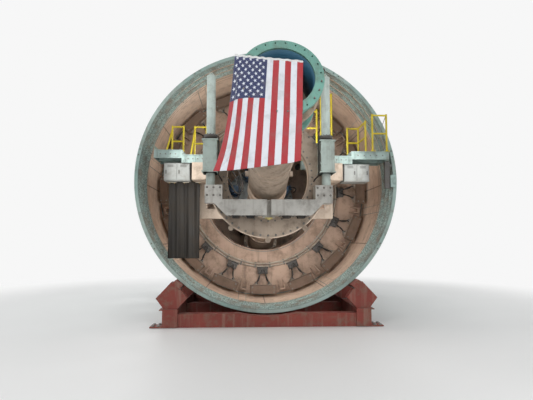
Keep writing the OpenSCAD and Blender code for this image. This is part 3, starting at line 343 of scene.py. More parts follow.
def stand(points, out=(0, 0, 1), up=(0, 0, 1)):
    """Frames at points, local Z along out and local Y near up, or X along X where out runs along up."""
    p = np.atleast_2d(np.array(points, float))
    z = np.array(out, float) * np.ones_like(p)
    z /= np.linalg.norm(z, axis=1, keepdims=True)
    x = np.cross(np.array(up, float) * np.ones_like(p), z)
    x[np.abs(x).sum(1) < 1e-9] = 1, 0, 0
    x /= np.linalg.norm(x, axis=1, keepdims=True)
    return np.stack([x, np.cross(z, x), z, p], -1)


def copies(surface, frames):
    """A surface set on each frame."""
    p, q = surface
    points = np.einsum("nij,kj->nki", frames[:, :, :3], p) + frames[:, None, :, 3]
    return points.reshape(-1, 3), (q + len(p) * np.arange(len(frames))[:, None, None]).reshape(-1, 4)


def circle(count, radius, t, face="rear", first=0.0, span=360.0):
    """Frames on a circle about the machine's axis at station t: local Z to the rear, front, out or in."""
    a = np.radians(first + span / count * np.arange(count))
    r = np.stack([np.sin(a), 0 * a, np.cos(a)], -1)
    p = polar(radius, t, a)
    if face in ("out", "in"):
        return stand(p, r if face == "out" else -r, (0, 1, 0))
    return stand(p, (0, -1, 0) if face == "rear" else (0, 1, 0), r)


def mirrored(surface):
    """A surface with its image in the plane of local Y and Z."""
    p, q = surface
    return joined(surface, (p * [-1, 1, 1], q[:, ::-1]))


# Outer radii of the skins; the beads lie 2 mm deep in them
tail_r, mid_r, front_r = 3.14, 3.145, 3.15
welds = []
# Skin, ends of its lengthwise seams, station of its round seam, angle of the first lengthwise one
for radius, t0, t1, seam, first in ((front_r, 6.22, 8.7, 7.3, 20), (mid_r, 3.02, 6.18, 4.6, 50),
                                    (tail_r, 0.05, 2.98, 1.5, 20)):
    welds += [hoop(radius - 0.002, seam, 0.009),
              rows_along(first + 60 * np.arange(6), radius - 0.002, t0, t1, 0.009)]
piece("shell_welds", joined(*welds), bead, "shield")
plug = joined(turned([(0.0005, 0.001), (0.022, 0.001), (0.026, 0.006), (0.062, 0.006), (0.07, 0.002),
                      (0.072, -0.01)], 24),
              turned([(0.0005, 0.009), (0.02, 0.009), (0.022, 0.007), (0.022, 0)], 6))
ports = ((mid_r, 5.4), (front_r, 6.75), (mid_r, 3.6))
ports = np.vstack([circle(12, r + 0.001, t, "out", 15) for r, t in ports])
piece("grout_plugs", copies(plug, ports), dark_steel, "shield")
ear_foot = mirrored(along([(-0.045, y, 0) for y in (-0.18, 0, 0.18)], 0.014, 8, (0, 0, 1)))
feet = np.vstack([circle(2, r + 0.001, t, "out", -28, 112) for r, t in ((mid_r, 3.5), (front_r, 7.9))])
piece("lug_welds", copies(ear_foot, feet), bead, "shield")

# Bulkhead and main drive: a thick plate behind the excavation chamber that carries the drive
# casing, its ring of electric motors and the man lock. Primer and satin machine paint.
primer = painted("bulkhead_primer", (0.5, 0.35, 0.26), 0.62, 0.55, 0.5, 0.5)
dress(primer, "bulkhead")
drive_paint = painted("drive_paint", (0.44, 0.47, 0.47), 0.42, 0.4, 0.3, 0.3)
dress(drive_paint, "main_drive")
motor_paint = painted("motor_paint", (0.05, 0.13, 0.25), 0.38, 0.35, 0.25, 0.3)
dress(motor_paint, "drive_motors", "erector_motors")
lock_paint = painted("lock_paint", (0.55, 0.55, 0.5), 0.45, 0.4, 0.35, 0.4)
dress(lock_paint, "man_lock", "lock_door")


def slab(x, y, z, c=0.004, at=(0, 0, 0)):
    """Block x by y by z with edges cut off by c: rings of eight corners, capped by three quads."""
    def ring(i, h):
        a, b = x / 2 - i, y / 2 - i
        return [(a, b - c, h), (a - c, b, h), (c - a, b, h), (-a, b - c, h),
                (-a, c - b, h), (c - a, -b, h), (a - c, -b, h), (a, c - b, h)]
    points = np.vstack([ring(c, -z / 2), ring(0, c - z / 2), ring(0, z / 2 - c), ring(c, z / 2)])
    cap = np.array([(0, 1, 2, 3), (0, 3, 4, 7), (4, 5, 6, 7)])
    return points + at, np.vstack([net(4, 8), cap[:, ::-1], cap + 24])


def bolt(d):
    """Hexagon head on a washer for a screw of diameter d."""
    washer = [(0.6 * d, 0.2 * d), (1.05 * d, 0.2 * d), (1.1 * d, 0.14 * d), (1.1 * d, -0.05 * d)]
    head = [(0.0005, 0.85 * d), (0.78 * d, 0.85 * d), (0.92 * d, 0.75 * d), (0.92 * d, 0.1 * d)]
    return joined(turned(washer, 14), turned(head, 6))


def ring_points(radius, h, a):
    """Points on a circle about local Z at height h: x = r cos a, y = r sin a."""
    return np.stack([radius * np.cos(a), radius * np.sin(a), h + 0 * a], -1)


def bolt_ring(d, count, radius, h, first=0.0):
    """Bolts on a circle about local Z at height h, the first at an angle in degrees."""
    a = np.radians(first + 360 / count * np.arange(count))
    return copies(bolt(d), stand(ring_points(radius, h, a)))


def place(x, t, z):
    """Points from the machine's axis and the tail's rear edge, in metres."""
    return np.array([x, t + tail_y, axis_z + z], float)


# Machine bolts, motor fins, terminal boxes, cables, valves on the bulkhead and the lock's fittings
screw_steel = painted("screw_steel", (0.2, 0.19, 0.17), 0.38, 0.5, 0.2, 0.7, size=3)
drive_t = 6.7
piece("drive_bolts", joined(copies(bolt(0.036), circle(36, 1.235, drive_t)),
                            copies(bolt(0.024), circle(60, 1.315, 7.31))), screw_steel, "shield")
# Motors: hexagon bolts on the adapter, long fins on the stator, a terminal box with its lid, a cable
around = np.arange(96)
rib = np.where(around % 4 < 2, 0.176, 0.158)
fins = (np.vstack([ring_points(rib * k, h, around * 2 * math.pi / 96)
                   for k, h in ((0.9, 0.44), (1, 0.44), (1, 0.93), (0.9, 0.93))]), net(4, 96))
box = joined(slab(0.17, 0.1, 0.2, 0.008, (0, 0.215, 0.66)), slab(0.185, 0.02, 0.215, 0.004, (0, 0.275, 0.66)))
motors = circle(8, 0.98, drive_t, "rear", 22.5)
piece("motor_fins", joined(copies(fins, motors), copies(box, motors)), motor_paint, "shield")
piece("motor_bolts", copies(bolt_ring(0.018, 8, 0.195, 0.418), motors), screw_steel, "shield")
cable = rounded([(0, 0.215, 0.76), (0, 0.215, 0.86), (0.02, 0.26, 1.0), (0.1, 0.42, 0.9), (0.16, 0.46, 0.3),
                 (0.17, 0.4, 0.01)], 6)
piece("motor_cables", copies(along(cable, 0.019, 8, (1, 0.2, 0.1)), motors), hose_finish, "shield")
valve = joined(turned([(0.052, 0), (0.052, 0.14), (0.092, 0.14), (0.092, 0.165), (0.06, 0.165), (0.06, 0.17),
                       (0.092, 0.17), (0.092, 0.195), (0.07, 0.2), (0.07, 0.3), (0.088, 0.3), (0.088, 0.32),
                       (0.0005, 0.325)], 24), turned([(0.11, -0.002), (0.11, 0.022), (0.05, 0.022)], 24),
               slab(0.02, 0.24, 0.012, 0.003, (0, 0.15, 0.25)))
piece("bulkhead_valves", copies(valve, circle(6, 2.15, 7.4, "rear", 47, 312)), dark_steel, "shield")
# Lock: bolts round its end, gauges and a valve panel; on the door a hand wheel with its boss
lock = stand([place(0, 5.2, 2.04)], (0, -1, 0))
gauge = turned([(0.0005, 0.045), (0.048, 0.045), (0.052, 0.06), (0.058, 0.06), (0.058, 0.0)], 24)
dials = stand([(0.5, 0.22, 0), (0.5, 0.07, 0), (0.5, -0.08, 0)])
panel = slab(0.09, 0.3, 0.05, 0.004, (0.5, -0.3, 0.024))
fittings = joined(bolt_ring(0.026, 24, 0.655, 0, 7.5), copies(gauge, dials), panel)
piece("lock_fittings", copies(fittings, lock), screw_steel, "shield")
wheel = along(ring_points(0.13, 0.085, np.linspace(0, 2 * math.pi, 33)), 0.011, 8, (0, 0, 1))
arms = ((0, 0.07), (0.065, 0.078), (0.13, 0.085))
spokes = [along([ring_points(r, h, k) for r, h in arms], 0.007, 8, (0, 0, 1)) for k in (0.5, 2.6, 4.7)]
boss = turned([(0.03, 0), (0.03, 0.08), (0.0005, 0.085)])
piece("lock_wheel", copies(joined(wheel, *spokes, boss), stand([place(0.21, 5.094, 2.04)], (0, -1, 0))),
      dark_steel, "lock_leaf")

# Thrust cylinders, their pads and the steering cylinders in the ring girder.
# Barrels are painted, rods are hard chrome, pads wear a brown coat of dust and grease.
dress(primer, "ring_girder", "girder_webs", "shoe_brackets")
cylinder_paint = painted("cylinder_paint", (0.36, 0.29, 0.23), 0.46, 0.5, 0.3, 0.4)
dress(cylinder_paint, "thrust_barrels", "steering_cylinders")
chrome, t, b, where = shader("rod_chrome", 1.0)
film = noise(t, where, 6, 6, 0.65)
wire(t, b, mix(t, ramp(t, film, 0.45, 0.7, 0, 0.5), (0.72, 0.72, 0.74), (0.3, 0.25, 0.2)),
     ramp(t, film, 0.35, 0.7, 0.12, 0.42))
dress(chrome, "thrust_rods")
shoe_paint = painted("shoe_paint", (0.17, 0.11, 0.075), 0.6, 0.6, 0.4, 0.6)
dress(shoe_paint, "thrust_shoes")

# Ring main: two hydraulic pipes on the girder's rear web, feeding a block and two hoses at each
# pair of cylinders; screws hold the pads. Weld beads join the webs to the skin and the flange.
pair_count, girder_t = 16, 3.02
pairs = circle(pair_count, 2.32, girder_t)
blocks = joined(slab(0.3, 0.16, 0.13, 0.008, (0, 0.06, 0.065)),
                slab(0.07, 0.07, 0.16, 0.006, (-0.08, 0.1, 0.14)),
                slab(0.07, 0.07, 0.16, 0.006, (0.08, 0.1, 0.14)),
                slab(0.34, 0.06, 0.02, 0.004, (0, -0.04, 0.01)))
piece("thrust_blocks", copies(blocks, pairs), dark_steel, "shield")
piece("ring_main", joined(hoop(2.16, girder_t - 0.055, 0.03), hoop(2.24, girder_t - 0.055, 0.024)),
      painted("pipe_paint", (0.42, 0.36, 0.29), 0.4), "shield")
clamp = slab(0.05, 0.17, 0.075, 0.006, (0, 0.04, 0.04))
piece("ring_main_clamps", copies(clamp, circle(2 * pair_count, 2.16, girder_t, "rear", 5.6)), screw_steel,
      "shield")
feed = along(rounded([(0.09, 0.12, 0.13), (0.09, 0.22, 0.16), (0.12, 0.33, 0.2), (0.21, 0.39, 0.19),
                      (0.205, 0.425, 0.19)], 6), 0.015, 8, (0.3, 0.1, 1))
turn = along(rounded([(0.03, 0.02, 0.13), (0.03, 0.02, 0.22), (0.1, 0.2, 0.26), (0.17, 0.36, 0.26),
                      (0.16, 0.43, 0.235)], 6), 0.015, 8, (1, 0.1, 0.2))
piece("thrust_hoses", copies(mirrored(joined(feed, turn)), pairs), hose_finish, "shield")
port = turned([(0.028, 0), (0.028, 0.035), (0.02, 0.04), (0.02, 0.06), (0.0005, 0.062)], 6)
ports = [circle(pair_count, 2.748, t, "in", first) for first in (-4.09, 4.09) for t in (2.83, 2.775)]
piece("barrel_ports", copies(port, np.vstack(ports)), screw_steel, "shield")
corner = stand([(x, y, 0) for x in (-0.31, 0.31) for y in (-0.075, 0.075)])
piece("pad_screws", copies(copies(bolt(0.022), corner), circle(pair_count, 2.875, 2.4)), screw_steel,
      "thrust")
piece("girder_welds",
      joined(hoop(3.078, girder_t - 0.004, 0.012), hoop(1.793, girder_t - 0.004, 0.01),
             hoop(3.078, 4.274, 0.012), hoop(1.754, 3.06, 0.004)), bead, "shield")
# Steering blocks on the girder's front flange, save where the lock's door swings
behind = stand(circle(16, 2.59, 4.32, "front", 11.25)[1:15, :, 3], (0, 1, 0))
piece("steering_blocks", copies(slab(0.16, 0.16, 0.1, 0.008, (0, 0, 0.05)), behind), dark_steel, "shield")

# Tail shield: a thin rolled skin, grey-green on its rear edge and outside, flesh-coloured primer inside
# with welded seams, scorch marks and brown stains. Three rows of wire brush seal line the rear edge.


def split(t, vector):
    """The three parts of a vector."""
    n = t.nodes.new("ShaderNodeSeparateXYZ")
    t.links.new(vector, n.inputs[0])
    return n.outputs


tail, t, b, where = shader("tail_paint")
# Primer lies within the skin's inner face, from the 40 mm rim inwards
spread = put(t, "VectorMath", (0, where), (1, (0, 0, axis_z)), operation="SUBTRACT")
reach = length(t, put(t, "VectorMath", (0, spread), (1, (1, 0, 1)), operation="MULTIPLY"))
x, y, z = split(t, spread)
around = calc(t, "ARCTAN2", x, z)
inside = calc(t, "MULTIPLY", ramp(t, reach, 3.091, 3.095, 1, 0), ramp(t, y, tail_y + 0.0405, tail_y + 0.042))
patch = noise(t, where, 0.7, 5, 0.6)
grime = noise(t, where, 3.3, 9, 0.7)
spot = noise(t, where, 17, 8, 0.74)
run = noise(t, where, 1.7, 7, 0.62, (3.4, 3.4, 0.25))
skin = mix(t, ramp(t, patch, 0.3, 0.7), (0.24, 0.36, 0.33), (0.4, 0.5, 0.46))
coat = mix(t, ramp(t, patch, 0.32, 0.68), (0.52, 0.36, 0.26), (0.7, 0.54, 0.42))
tone = mix(t, inside, skin, coat)
tone = mix(t, ramp(t, grime, 0.47, 0.72, 0, 0.42), tone, (0.16, 0.1, 0.07))
tone = mix(t, ramp(t, run, 0.52, 0.76, 0, 0.45), tone, (0.2, 0.13, 0.09))
# Seams: narrow dark bands at equal angles and at one length
gap = calc(t, "PINGPONG", calc(t, "ADD", around, calc(t, "MULTIPLY", ramp(t, spot, 0, 1), 0.006)),
           math.pi / 12)
seam = calc(t, "MAXIMUM", ramp(t, gap, 0.0025, 0.007, 1, 0),
            ramp(t, calc(t, "ABSOLUTE", calc(t, "ADD", y, 1.35)), 0.006, 0.018, 1, 0))
seam = calc(t, "MULTIPLY", seam, inside)
tone = mix(t, calc(t, "MULTIPLY", seam, 0.75), tone, (0.13, 0.08, 0.055))
bare = calc(t, "MULTIPLY", ramp(t, spot, 0.58, 0.66), ramp(t, grime, 0.42, 0.6, 0, 0.75))
tone = mix(t, bare, tone, (0.15, 0.06, 0.03))
wire(t, b, tone, ramp(t, grime, 0.3, 0.7, 0.45, 0.72), calc(t, "SUBTRACT", spot, seam), 0.004, 0.4)
dress(tail, "tail_shield")

# Brush: galvanised hair that runs forward, soiled with grease
brush, t, b, where = shader("brush_steel", 0.1)
hair = noise(t, where, 55, 4, 0.7, (1, 0.12, 1))
soil = noise(t, where, 3.5, 7, 0.65)
tone = mix(t, ramp(t, hair, 0.35, 0.65), (0.13, 0.18, 0.165), (0.4, 0.5, 0.46))
tone = mix(t, ramp(t, soil, 0.42, 0.68, 0, 0.75), tone, (0.2, 0.15, 0.11))
wire(t, b, tone, ramp(t, hair, 0.3, 0.7, 0.6, 0.85), hair, 0.006, 0.9)
dress(brush, "tail_seals")

# Inside the tail: long welded covers over the grout pipes, grease nipples between the seal rows,
# a bead round the rim, plugs in four rim holes, and at the right a lug and a dark clamping bar.
covers = circle(8, 3.083, 2.02, "in", 11.25)
piece("grout_covers", copies(slab(0.2, 1.75, 0.014, 0.005), covers), tail, "shield", False)
edge = mirrored(along([(0.103, y, -0.004) for y in (-0.87, 0, 0.87)], 0.008, 8, (0, 0, 1)))
piece("cover_welds", joined(copies(edge, covers), hoop(3.087, 1.14, 0.006), hoop(3.053, -0.001, 0.004)), bead,
      "shield")
nipple = turned([(0.02, 0), (0.02, 0.022), (0.012, 0.026), (0.012, 0.05), (0.0005, 0.052)], 12)
greased = np.vstack([circle(12, 3.089, t, "in", 15) for t in (0.325, 0.645, 0.99)])
piece("grease_nipples", copies(nipple, greased), screw_steel, "shield")
socket = turned([(0.0005, 0.004), (0.01, 0.004), (0.014, 0.01), (0.0165, 0.012), (0.0165, -0.02)], 16)
a = np.radians([s * p + 1.3 * k for s in (-1, 1) for p in (78, 120.6) for k in (-1, 1)])
piece("rim_plugs", copies(socket, stand(polar(3.1, 0, a), (0, -1, 0))), screw_steel, "shield")
lug = joined(slab(0.13, 0.05, 0.3, 0.01, place(3.045, -0.026, -0.02)),
             slab(0.06, 0.03, 0.12, 0.006, place(3.06, -0.06, -0.02)))
piece("rim_lug", lug, shell, "shield", False)
bar = joined(slab(0.13, 0.06, 0.66, 0.012, place(2.91, 0.02, 0.13)),
             slab(0.24, 0.04, 0.07, 0.006, place(2.97, 0.03, 0.36)),
             slab(0.24, 0.04, 0.07, 0.006, place(2.97, 0.03, -0.1)))
piece("rim_bar", bar, dark_steel, "shield", False)

# Cutterhead: a welded steel disc with spokes, openings and hard-faced cutting tools.
# New paint that shipping has scratched; the tools and centre cutter are bare tool steel.
cutterhead_paint = painted("cutterhead_paint", (0.2, 0.3, 0.31), 0.5, 0.5, 0.35, 0.6)
dress(cutterhead_paint, "cutterhead_disc")
hub_steel = painted("hub_steel", (0.27, 0.26, 0.24), 0.5, 0.5, 0.4, 0.6)
dress(hub_steel, "cutterhead_hub")
tool, t, b, where = shader("tool_steel", 0.75)
grain = noise(t, where, 38, 7, 0.7)
wire(t, b, mix(t, ramp(t, grain, 0.4, 0.65), (0.3, 0.29, 0.28), (0.16, 0.12, 0.09)),
     ramp(t, grain, 0.3, 0.7, 0.32, 0.6), grain, 0.004, 0.6)
dress(tool, "cutterhead_tools")

# Wear parts: crossed hard-facing beads on the face plates, carbide edges on the scrapers, blocks
# round the bevel, soil conditioning ports and the screws of the tool holders.
carbide, t, b, where = shader("carbide", 0.9)
wire(t, b, mix(t, noise(t, where, 30, 4), (0.3, 0.29, 0.27), (0.5, 0.48, 0.44)), noise(t, where, 12, 4),
     noise(t, where, 70, 3))
disc_t = 9.35
spoke_angles = np.radians(60 * np.arange(6))


def beside(a, r, w, t):
    """Points at distance r out along the angle a and w beside that line, at station t."""
    c, s = math.cos(a), math.sin(a)
    return np.stack([r * s + w * c, 0 * r + t + tail_y, axis_z + r * c - w * s], -1)


beads = []
u = np.linspace(-0.32, 0.32, 3)
for a in spoke_angles + math.radians(30):
    for k in range(-3, 4):
        for lean in (-0.9, 0.9):
            beads.append(along(beside(a, 1.98 + 0.18 * k + u, lean * u, disc_t + 0.003), 0.01, 6))
piece("hard_facing", joined(*beads), bead, "cutterhead")
teeth = []
edge = slab(0.185, 0.03, 0.045, 0.006)
for w in (-0.292, 0.292):
    for a in spoke_angles:
        along_spoke = beside(a, 1.0 + 0.265 * np.arange(7), w, disc_t + 0.112)
        frames = stand(along_spoke, (math.cos(a), 0, -math.sin(a)), (0, 1, 0))
        teeth.append(copies(edge, frames[:, :, [1, 0, 2, 3]]))
piece("scraper_edges", joined(*teeth), carbide, "cutterhead")
bevel = np.vstack([circle(36, 3.118, t, "out", first) for t, first in ((9.06, 5), (8.93, 10))])
piece("gauge_blocks", copies(slab(0.12, 0.16, 0.05, 0.012), bevel), carbide, "cutterhead")
nozzle = turned([(0.075, 0), (0.075, 0.03), (0.05, 0.045), (0.02, 0.045), (0.018, 0.02), (0.0005, 0.02)], 20)
piece("conditioning_ports", copies(nozzle, circle(6, 1.85, disc_t, "front", 3)), tool, "cutterhead")
# Screws in two rows, 89 mm each side of a spoke's middle
radii = (1.25, 1.62, 1.99, 2.36, 2.73)
pattern = np.vstack([circle(6, r, disc_t, "front", a / r) for r in radii for a in (-5.12, 5.12)])
piece("spoke_screws", copies(bolt(0.03), pattern), screw_steel, "cutterhead")
piece("hub_welds", joined(hoop(0.965, 8.16, 0.012), hoop(0.965, 6.72, 0.01)), bead, "cutterhead")

# Screw conveyor: a long sloping pipe in bolted lengths, primed flesh colour and stained below,
# with a sea-green discharge housing and rear flange, and a bare steel auger inside.
screw_paint = painted("screw_paint", (0.5, 0.39, 0.3), 0.5, 0.5, 0.45, 0.4)
dress(screw_paint, "screw_casing", "screw_flanges")
flange_paint = painted("flange_paint", (0.16, 0.36, 0.3), 0.48, 0.45, 0.4, 0.5)
dress(flange_paint, "screw_housing")
auger_steel = painted("auger_steel", (0.22, 0.21, 0.2), 0.45, 0.5, 0.3, 0.6)
dress(auger_steel, "auger_shaft", "auger_flight")

# Fittings round the conveyor: bolts of the joint flanges, a hatch on top, lubrication pipes with
# clamps along the sides, injection stubs, shackles in the collar's ears, studs and a thin blue band inside
# the mouth at the rear.

# The conveyor's axis passes through foot and climbs to the rear
incline, foot_t = math.radians(14.5), -0.83
foot = place(0, foot_t, 0.02)
rearward = np.array([0, -math.cos(incline), math.sin(incline)])
up = np.array([0, math.sin(incline), math.cos(incline)])


def about(angles, radius, s, face="rear"):
    """Frames about the conveyor's axis at distance s towards its rear: local Z to the rear, front or out."""
    a = np.radians(np.atleast_1d(np.array(angles, float)))[:, None]
    r = np.sin(a) * [1, 0, 0] + np.cos(a) * up
    p = foot + rearward * s + r * radius
    if face == "out":
        return stand(p, r, rearward)
    return stand(p, rearward if face == "rear" else -rearward, r)


parts = []
for t in (-2.43, 1.64, 5.0):
    s = (foot_t - t) / math.cos(incline)
    for d, way in ((0.035, "rear"), (-0.035, "front")):
        parts.append(copies(bolt(0.026), about(np.arange(24) * 15 + 7.5, 0.515, s + d, way)))
parts.append(copies(bolt(0.022), about(np.arange(24) * 15, 0.562, 2.776, "front")))
piece("conveyor_bolts", joined(*parts), screw_steel, "shield")
rings = [along(about(np.linspace(0, 360, 97), 0.456, s)[:, :, 3], 0.012, 6, rearward)
         for s in (-0.95, -1.7, 0.85, 2.3, -3.6, -4.4)]
piece("casing_rings", joined(*rings), screw_paint, "shield")
hatch = joined(slab(0.34, 0.46, 0.03, 0.006, (0, 0, 0.025)), slab(0.4, 0.52, 0.03, 0.006),
               along([(-0.09, 0, 0.04), (-0.09, 0, 0.09), (0, 0, 0.1), (0.09, 0, 0.09), (0.09, 0, 0.04)],
                     0.009, 8))
border = [(x, y, 0.015) for x in (-0.18, 0.18) for y in (-0.2, -0.1, 0, 0.1, 0.2)]
border += [(x, y, 0.015) for x in (-0.09, 0.0, 0.09) for y in (-0.24, 0.24)]
top = about(0, 0.452, 2.05, "out")
piece("casing_hatch", copies(hatch, top), screw_paint, "shield", False)
piece("hatch_bolts", copies(copies(bolt(0.014), stand(border)), top), screw_steel, "shield")
stub = turned([(0.035, -0.03), (0.035, 0.07), (0.06, 0.07), (0.06, 0.09), (0.03, 0.09), (0.03, 0.12),
               (0.0005, 0.125)], 20)
sides = np.vstack([about((48, -48), 0.45, s, "out") for s in (1.15, 2.55, -1.3, -2.2)])
piece("injection_stubs", copies(stub, sides), dark_steel, "shield")
lines, grips = [], []
for a in (62, 70, -62, -72, -80):
    for s0, s1 in ((0.72, 1.6), (1.72, 2.72)):
        ends = [about(a, 0.478, s)[0, :, 3] for s in (s0, (s0 + s1) / 2, s1)]
        lines.append(along(ends, 0.013, 8, up))
        for s in (s0 + 0.12, s1 - 0.12):
            grips.append(copies(slab(0.04, 0.05, 0.03, 0.004, (0, 0, 0.015)), about(a, 0.468, s, "out")))
piece("conveyor_pipes", joined(*lines), dark_steel, "shield")
piece("conveyor_grips", joined(*grips), screw_steel, "shield")
# Shackle: a bow bent in its local XZ plane, a pin through its ends and the pin's head
bow = [(0.062 * math.cos(k), 0, 0.075 + 0.062 * math.sin(k)) for k in np.linspace(0, math.pi, 13)[1:-1]]
bow = along([(0.045, 0, -0.01), (0.056, 0, 0.04), *bow, (-0.056, 0, 0.04), (-0.045, 0, -0.01)], 0.012, 8)
pin = along([(-0.075, 0, 0), (0, 0, 0), (0.085, 0, 0)], 0.014, 10, (0, 1, 0))
head = along([(-0.088, 0, 0), (-0.08, 0, 0), (-0.07, 0, 0)], 0.024, 10, (0, 1, 0))
shackle = joined(bow, pin, head)
hang = about((62, -62), 0.67, 3.251)[:, :, 3]
out = np.array([[0.75, -0.15, 0.5], [-0.75, -0.15, 0.5]])
piece("lifting_shackles", copies(shackle, stand(hang, out, np.cross(out, rearward))), dark_steel, "shield")
studs = turned([(0.0005, 0.03), (0.011, 0.03), (0.013, 0.025), (0.013, -0.05)], 10)
piece("rear_studs", copies(studs, about([97.5, 112.5, 127.5, 172.5, 187.5, 232.5, 247.5], 0.585, 3.646)),
      screw_steel, "shield")
# A thin blue band, 0.72 m long, just inside the rear of the mouth's bore
blue_band, t, b, where = shader("mouth_blue_band")
wire(t, b, mix(t, noise(t, where, 5, 7), (0.02, 0.09, 0.17), (0.07, 0.2, 0.29)), noise(t, where, 9, 5),
     noise(t, where, 40, 3))
piece("mouth_blue_band", copies(turned([(0.493, 0.36), (0.489, 0.36), (0.489, -0.36), (0.493, -0.36)], 96),
                            about(0, 0, 3.25)), blue_band, "shield")

# Erector: runway beams, fixed ring with support rollers, and the turning ring with two
# column housings, guide tubes and the head beam that lifts a lining segment.
frame_primer = painted("frame_primer", (0.44, 0.35, 0.27), 0.55, 0.5, 0.4, 0.5)
dress(frame_primer, "erector_runway", "erector_carriage", "erector_ring")
erector_paint = painted("erector_paint", (0.5, 0.6, 0.55), 0.45, 0.4, 0.4, 0.4)
dress(erector_paint, "erector_columns")
beam_paint = painted("beam_paint", (0.54, 0.53, 0.49), 0.48, 0.45, 0.4, 0.4)
dress(beam_paint, "erector_beam")
tube_paint = painted("tube_paint", (0.57, 0.67, 0.62), 0.4, 0.35, 0.4, 0.3)
dress(tube_paint, "erector_tubes")

# Fixings of the erector: ring bolts, flanges and hoses of the columns, glands, cap plates.
ring_t, carriage_t, column_t, column_x = -0.45, -0.28, -0.7, 1.293
outer, inner = circle(48, 1.335, ring_t), circle(40, 1.01, ring_t)
piece("ring_bolts", joined(copies(bolt(0.024), outer), copies(bolt(0.02), inner)), screw_steel,
      "erector_rotor")
rings = np.vstack([circle(40, r, carriage_t, "front") for r in (1.29, 1.11)])
piece("carriage_bolts", copies(bolt(0.026), rings), screw_steel, "shield")
flanges, pipes = [], []
for s in (-1, 1):
    x = s * column_x
    flanges += [slab(0.36, 0.55, 0.03, 0.006, place(x, column_t, z)) for z in (0.055, 0.755)]
    flanges += [slab(0.016, 0.46, 0.05, 0.004, place(x - s * 0.157, column_t, z)) for z in (0.25, 0.5)]
    q = x - s * 0.185
    for t in (-0.88, -0.82):
        route = [place(q, t, z) for z in (0.84, 0.45, 0.1)]
        route += [place(q, t + 0.06, -0.02), place(s * 1.06, t + 0.3, -0.06), place(s * 1.05, -0.46, -0.1)]
        pipes.append(along(rounded(route, 5), 0.015, 8, (0.9, 0.3, 0.2)))
piece("column_plates", joined(*flanges), erector_paint, "erector_rotor", False)
piece("column_pipes", joined(*pipes), hose_finish, "erector_rotor")
gland = joined(turned([(0.155, 0.0), (0.175, 0.0), (0.175, 0.03), (0.155, 0.03)], 40),
               turned([(0.151, 0.035), (0.153, 0.035), (0.153, 0.125), (0.13, 0.132), (0.1015, 0.132)], 40),
               bolt_ring(0.018, 12, 0.127, 0.13))
tops = stand([place(s * column_x, column_t, 0.77) for s in (-1, 1)])
piece("column_glands", copies(gland, tops), dark_steel, "erector_rotor")
cap = joined(turned([(0.0005, 0.022), (0.07, 0.022), (0.098, 0.018), (0.104, 0.01), (0.104, -0.02)], 40),
             bolt_ring(0.014, 8, 0.078, 0.02))
eye = ring_points(0.035, 0, np.linspace(0, 2 * math.pi, 21))[:, [0, 2, 1]]
eye = along(eye + [0, 0, 0.06], 0.009, 8)
heads = stand([place(s * column_x, column_t, 2.24) for s in (-1, 1)])
piece("tube_caps", copies(joined(cap, eye), heads), tube_paint, "erector_head")
# Head beam: screws under the beam and on the guide boxes, rubber pads and the jaw's sill
beam_z = -0.9
under = [place(x, t, beam_z) for x in (-0.86, -0.56, -0.25, 0.25, 0.56, 0.86) for t in (-0.86, -0.54)]
piece("beam_bolts", copies(bolt(0.026), stand(under, (0, 0, -1), (0, 1, 0))), screw_steel, "erector_head")
sides = [place(s * 1.21 + x, -0.9, z) for s in (-1, 1) for x in (-0.14, 0, 0.14) for z in (-0.29, -0.46)]
piece("box_bolts", copies(bolt(0.022), stand(sides, (0, -1, 0))), screw_steel, "erector_head")
pad = turned([(0.0005, 0.055), (0.075, 0.055), (0.085, 0.045), (0.085, 0.02), (0.1, 0.015), (0.1, -0.005)],
             28)
feet = [place(x, t, beam_z) for x in (-0.72, -0.4, 0.4, 0.72) for t in (-0.8, -0.6)]
piece("beam_pads", copies(pad, stand(feet, (0, 0, -1), (0, 1, 0))), hose_finish, "erector_head")
sill = joined(slab(0.07, 0.16, 0.05, 0.006, place(0, -0.86, -0.97)),
              slab(0.16, 0.05, 0.03, 0.005, place(0, -0.8, -0.955)))
piece("grip_sill", sill, painted("sill_paint", (0.55, 0.45, 0.16), 0.5, size=3), "erector_head", False)
# Runway: web stiffeners, end plate bolts, cable ladder and pipes on the inner face
parts, bolts, runs = [], [], []
for s in (-1, 1):
    for t in (0.15, 0.75, 1.35, 1.95, 2.55):
        parts.append(slab(0.05, 0.016, 0.34, 0.004, place(s * 1.43, t, 0.15)))
    bolts += [place(s * x, 2.98, z) for x in (1.85, 2.0) for z in (-0.16, 0.02, 0.2, 0.45)]
    for z in (0.24, 0.19, 0.14):
        runs.append(along([place(s * 1.39, t, z) for t in (0.05, 1.4, 2.95)], 0.017, 8, (0, 0, 1)))
    for t in (0.3, 0.9, 1.5, 2.1, 2.7):
        parts.append(slab(0.05, 0.04, 0.18, 0.004, place(s * 1.42, t, 0.19)))
piece("runway_plates", joined(*parts), frame_primer, "shield", False)
piece("runway_bolts", copies(bolt(0.03), stand(bolts, (0, -1, 0))), screw_steel, "shield")
piece("runway_pipes", joined(*runs), dark_steel, "shield")

# Work decks, handrails and cabinets on both sides of the erector.
# Grey decks with raised-pattern plate on top, safety yellow rails, light grey cabinets.
deck_paint = painted("deck_paint", (0.33, 0.43, 0.4), 0.5, 0.45, 0.4, 0.4)
dress(deck_paint, "deck_left", "deck_right")
rail_yellow = painted("rail_yellow", (0.66, 0.52, 0.015), 0.42, 0.3, 0.25, 0.35, size=2.0)
dress(rail_yellow, "handrail_left", "handrail_right", "guard_frame")
cabinet_paint = painted("cabinet_paint", (0.31, 0.32, 0.3), 0.45, 0.4, 0.35, 0.3)
dress(cabinet_paint, "deck_cabinets")

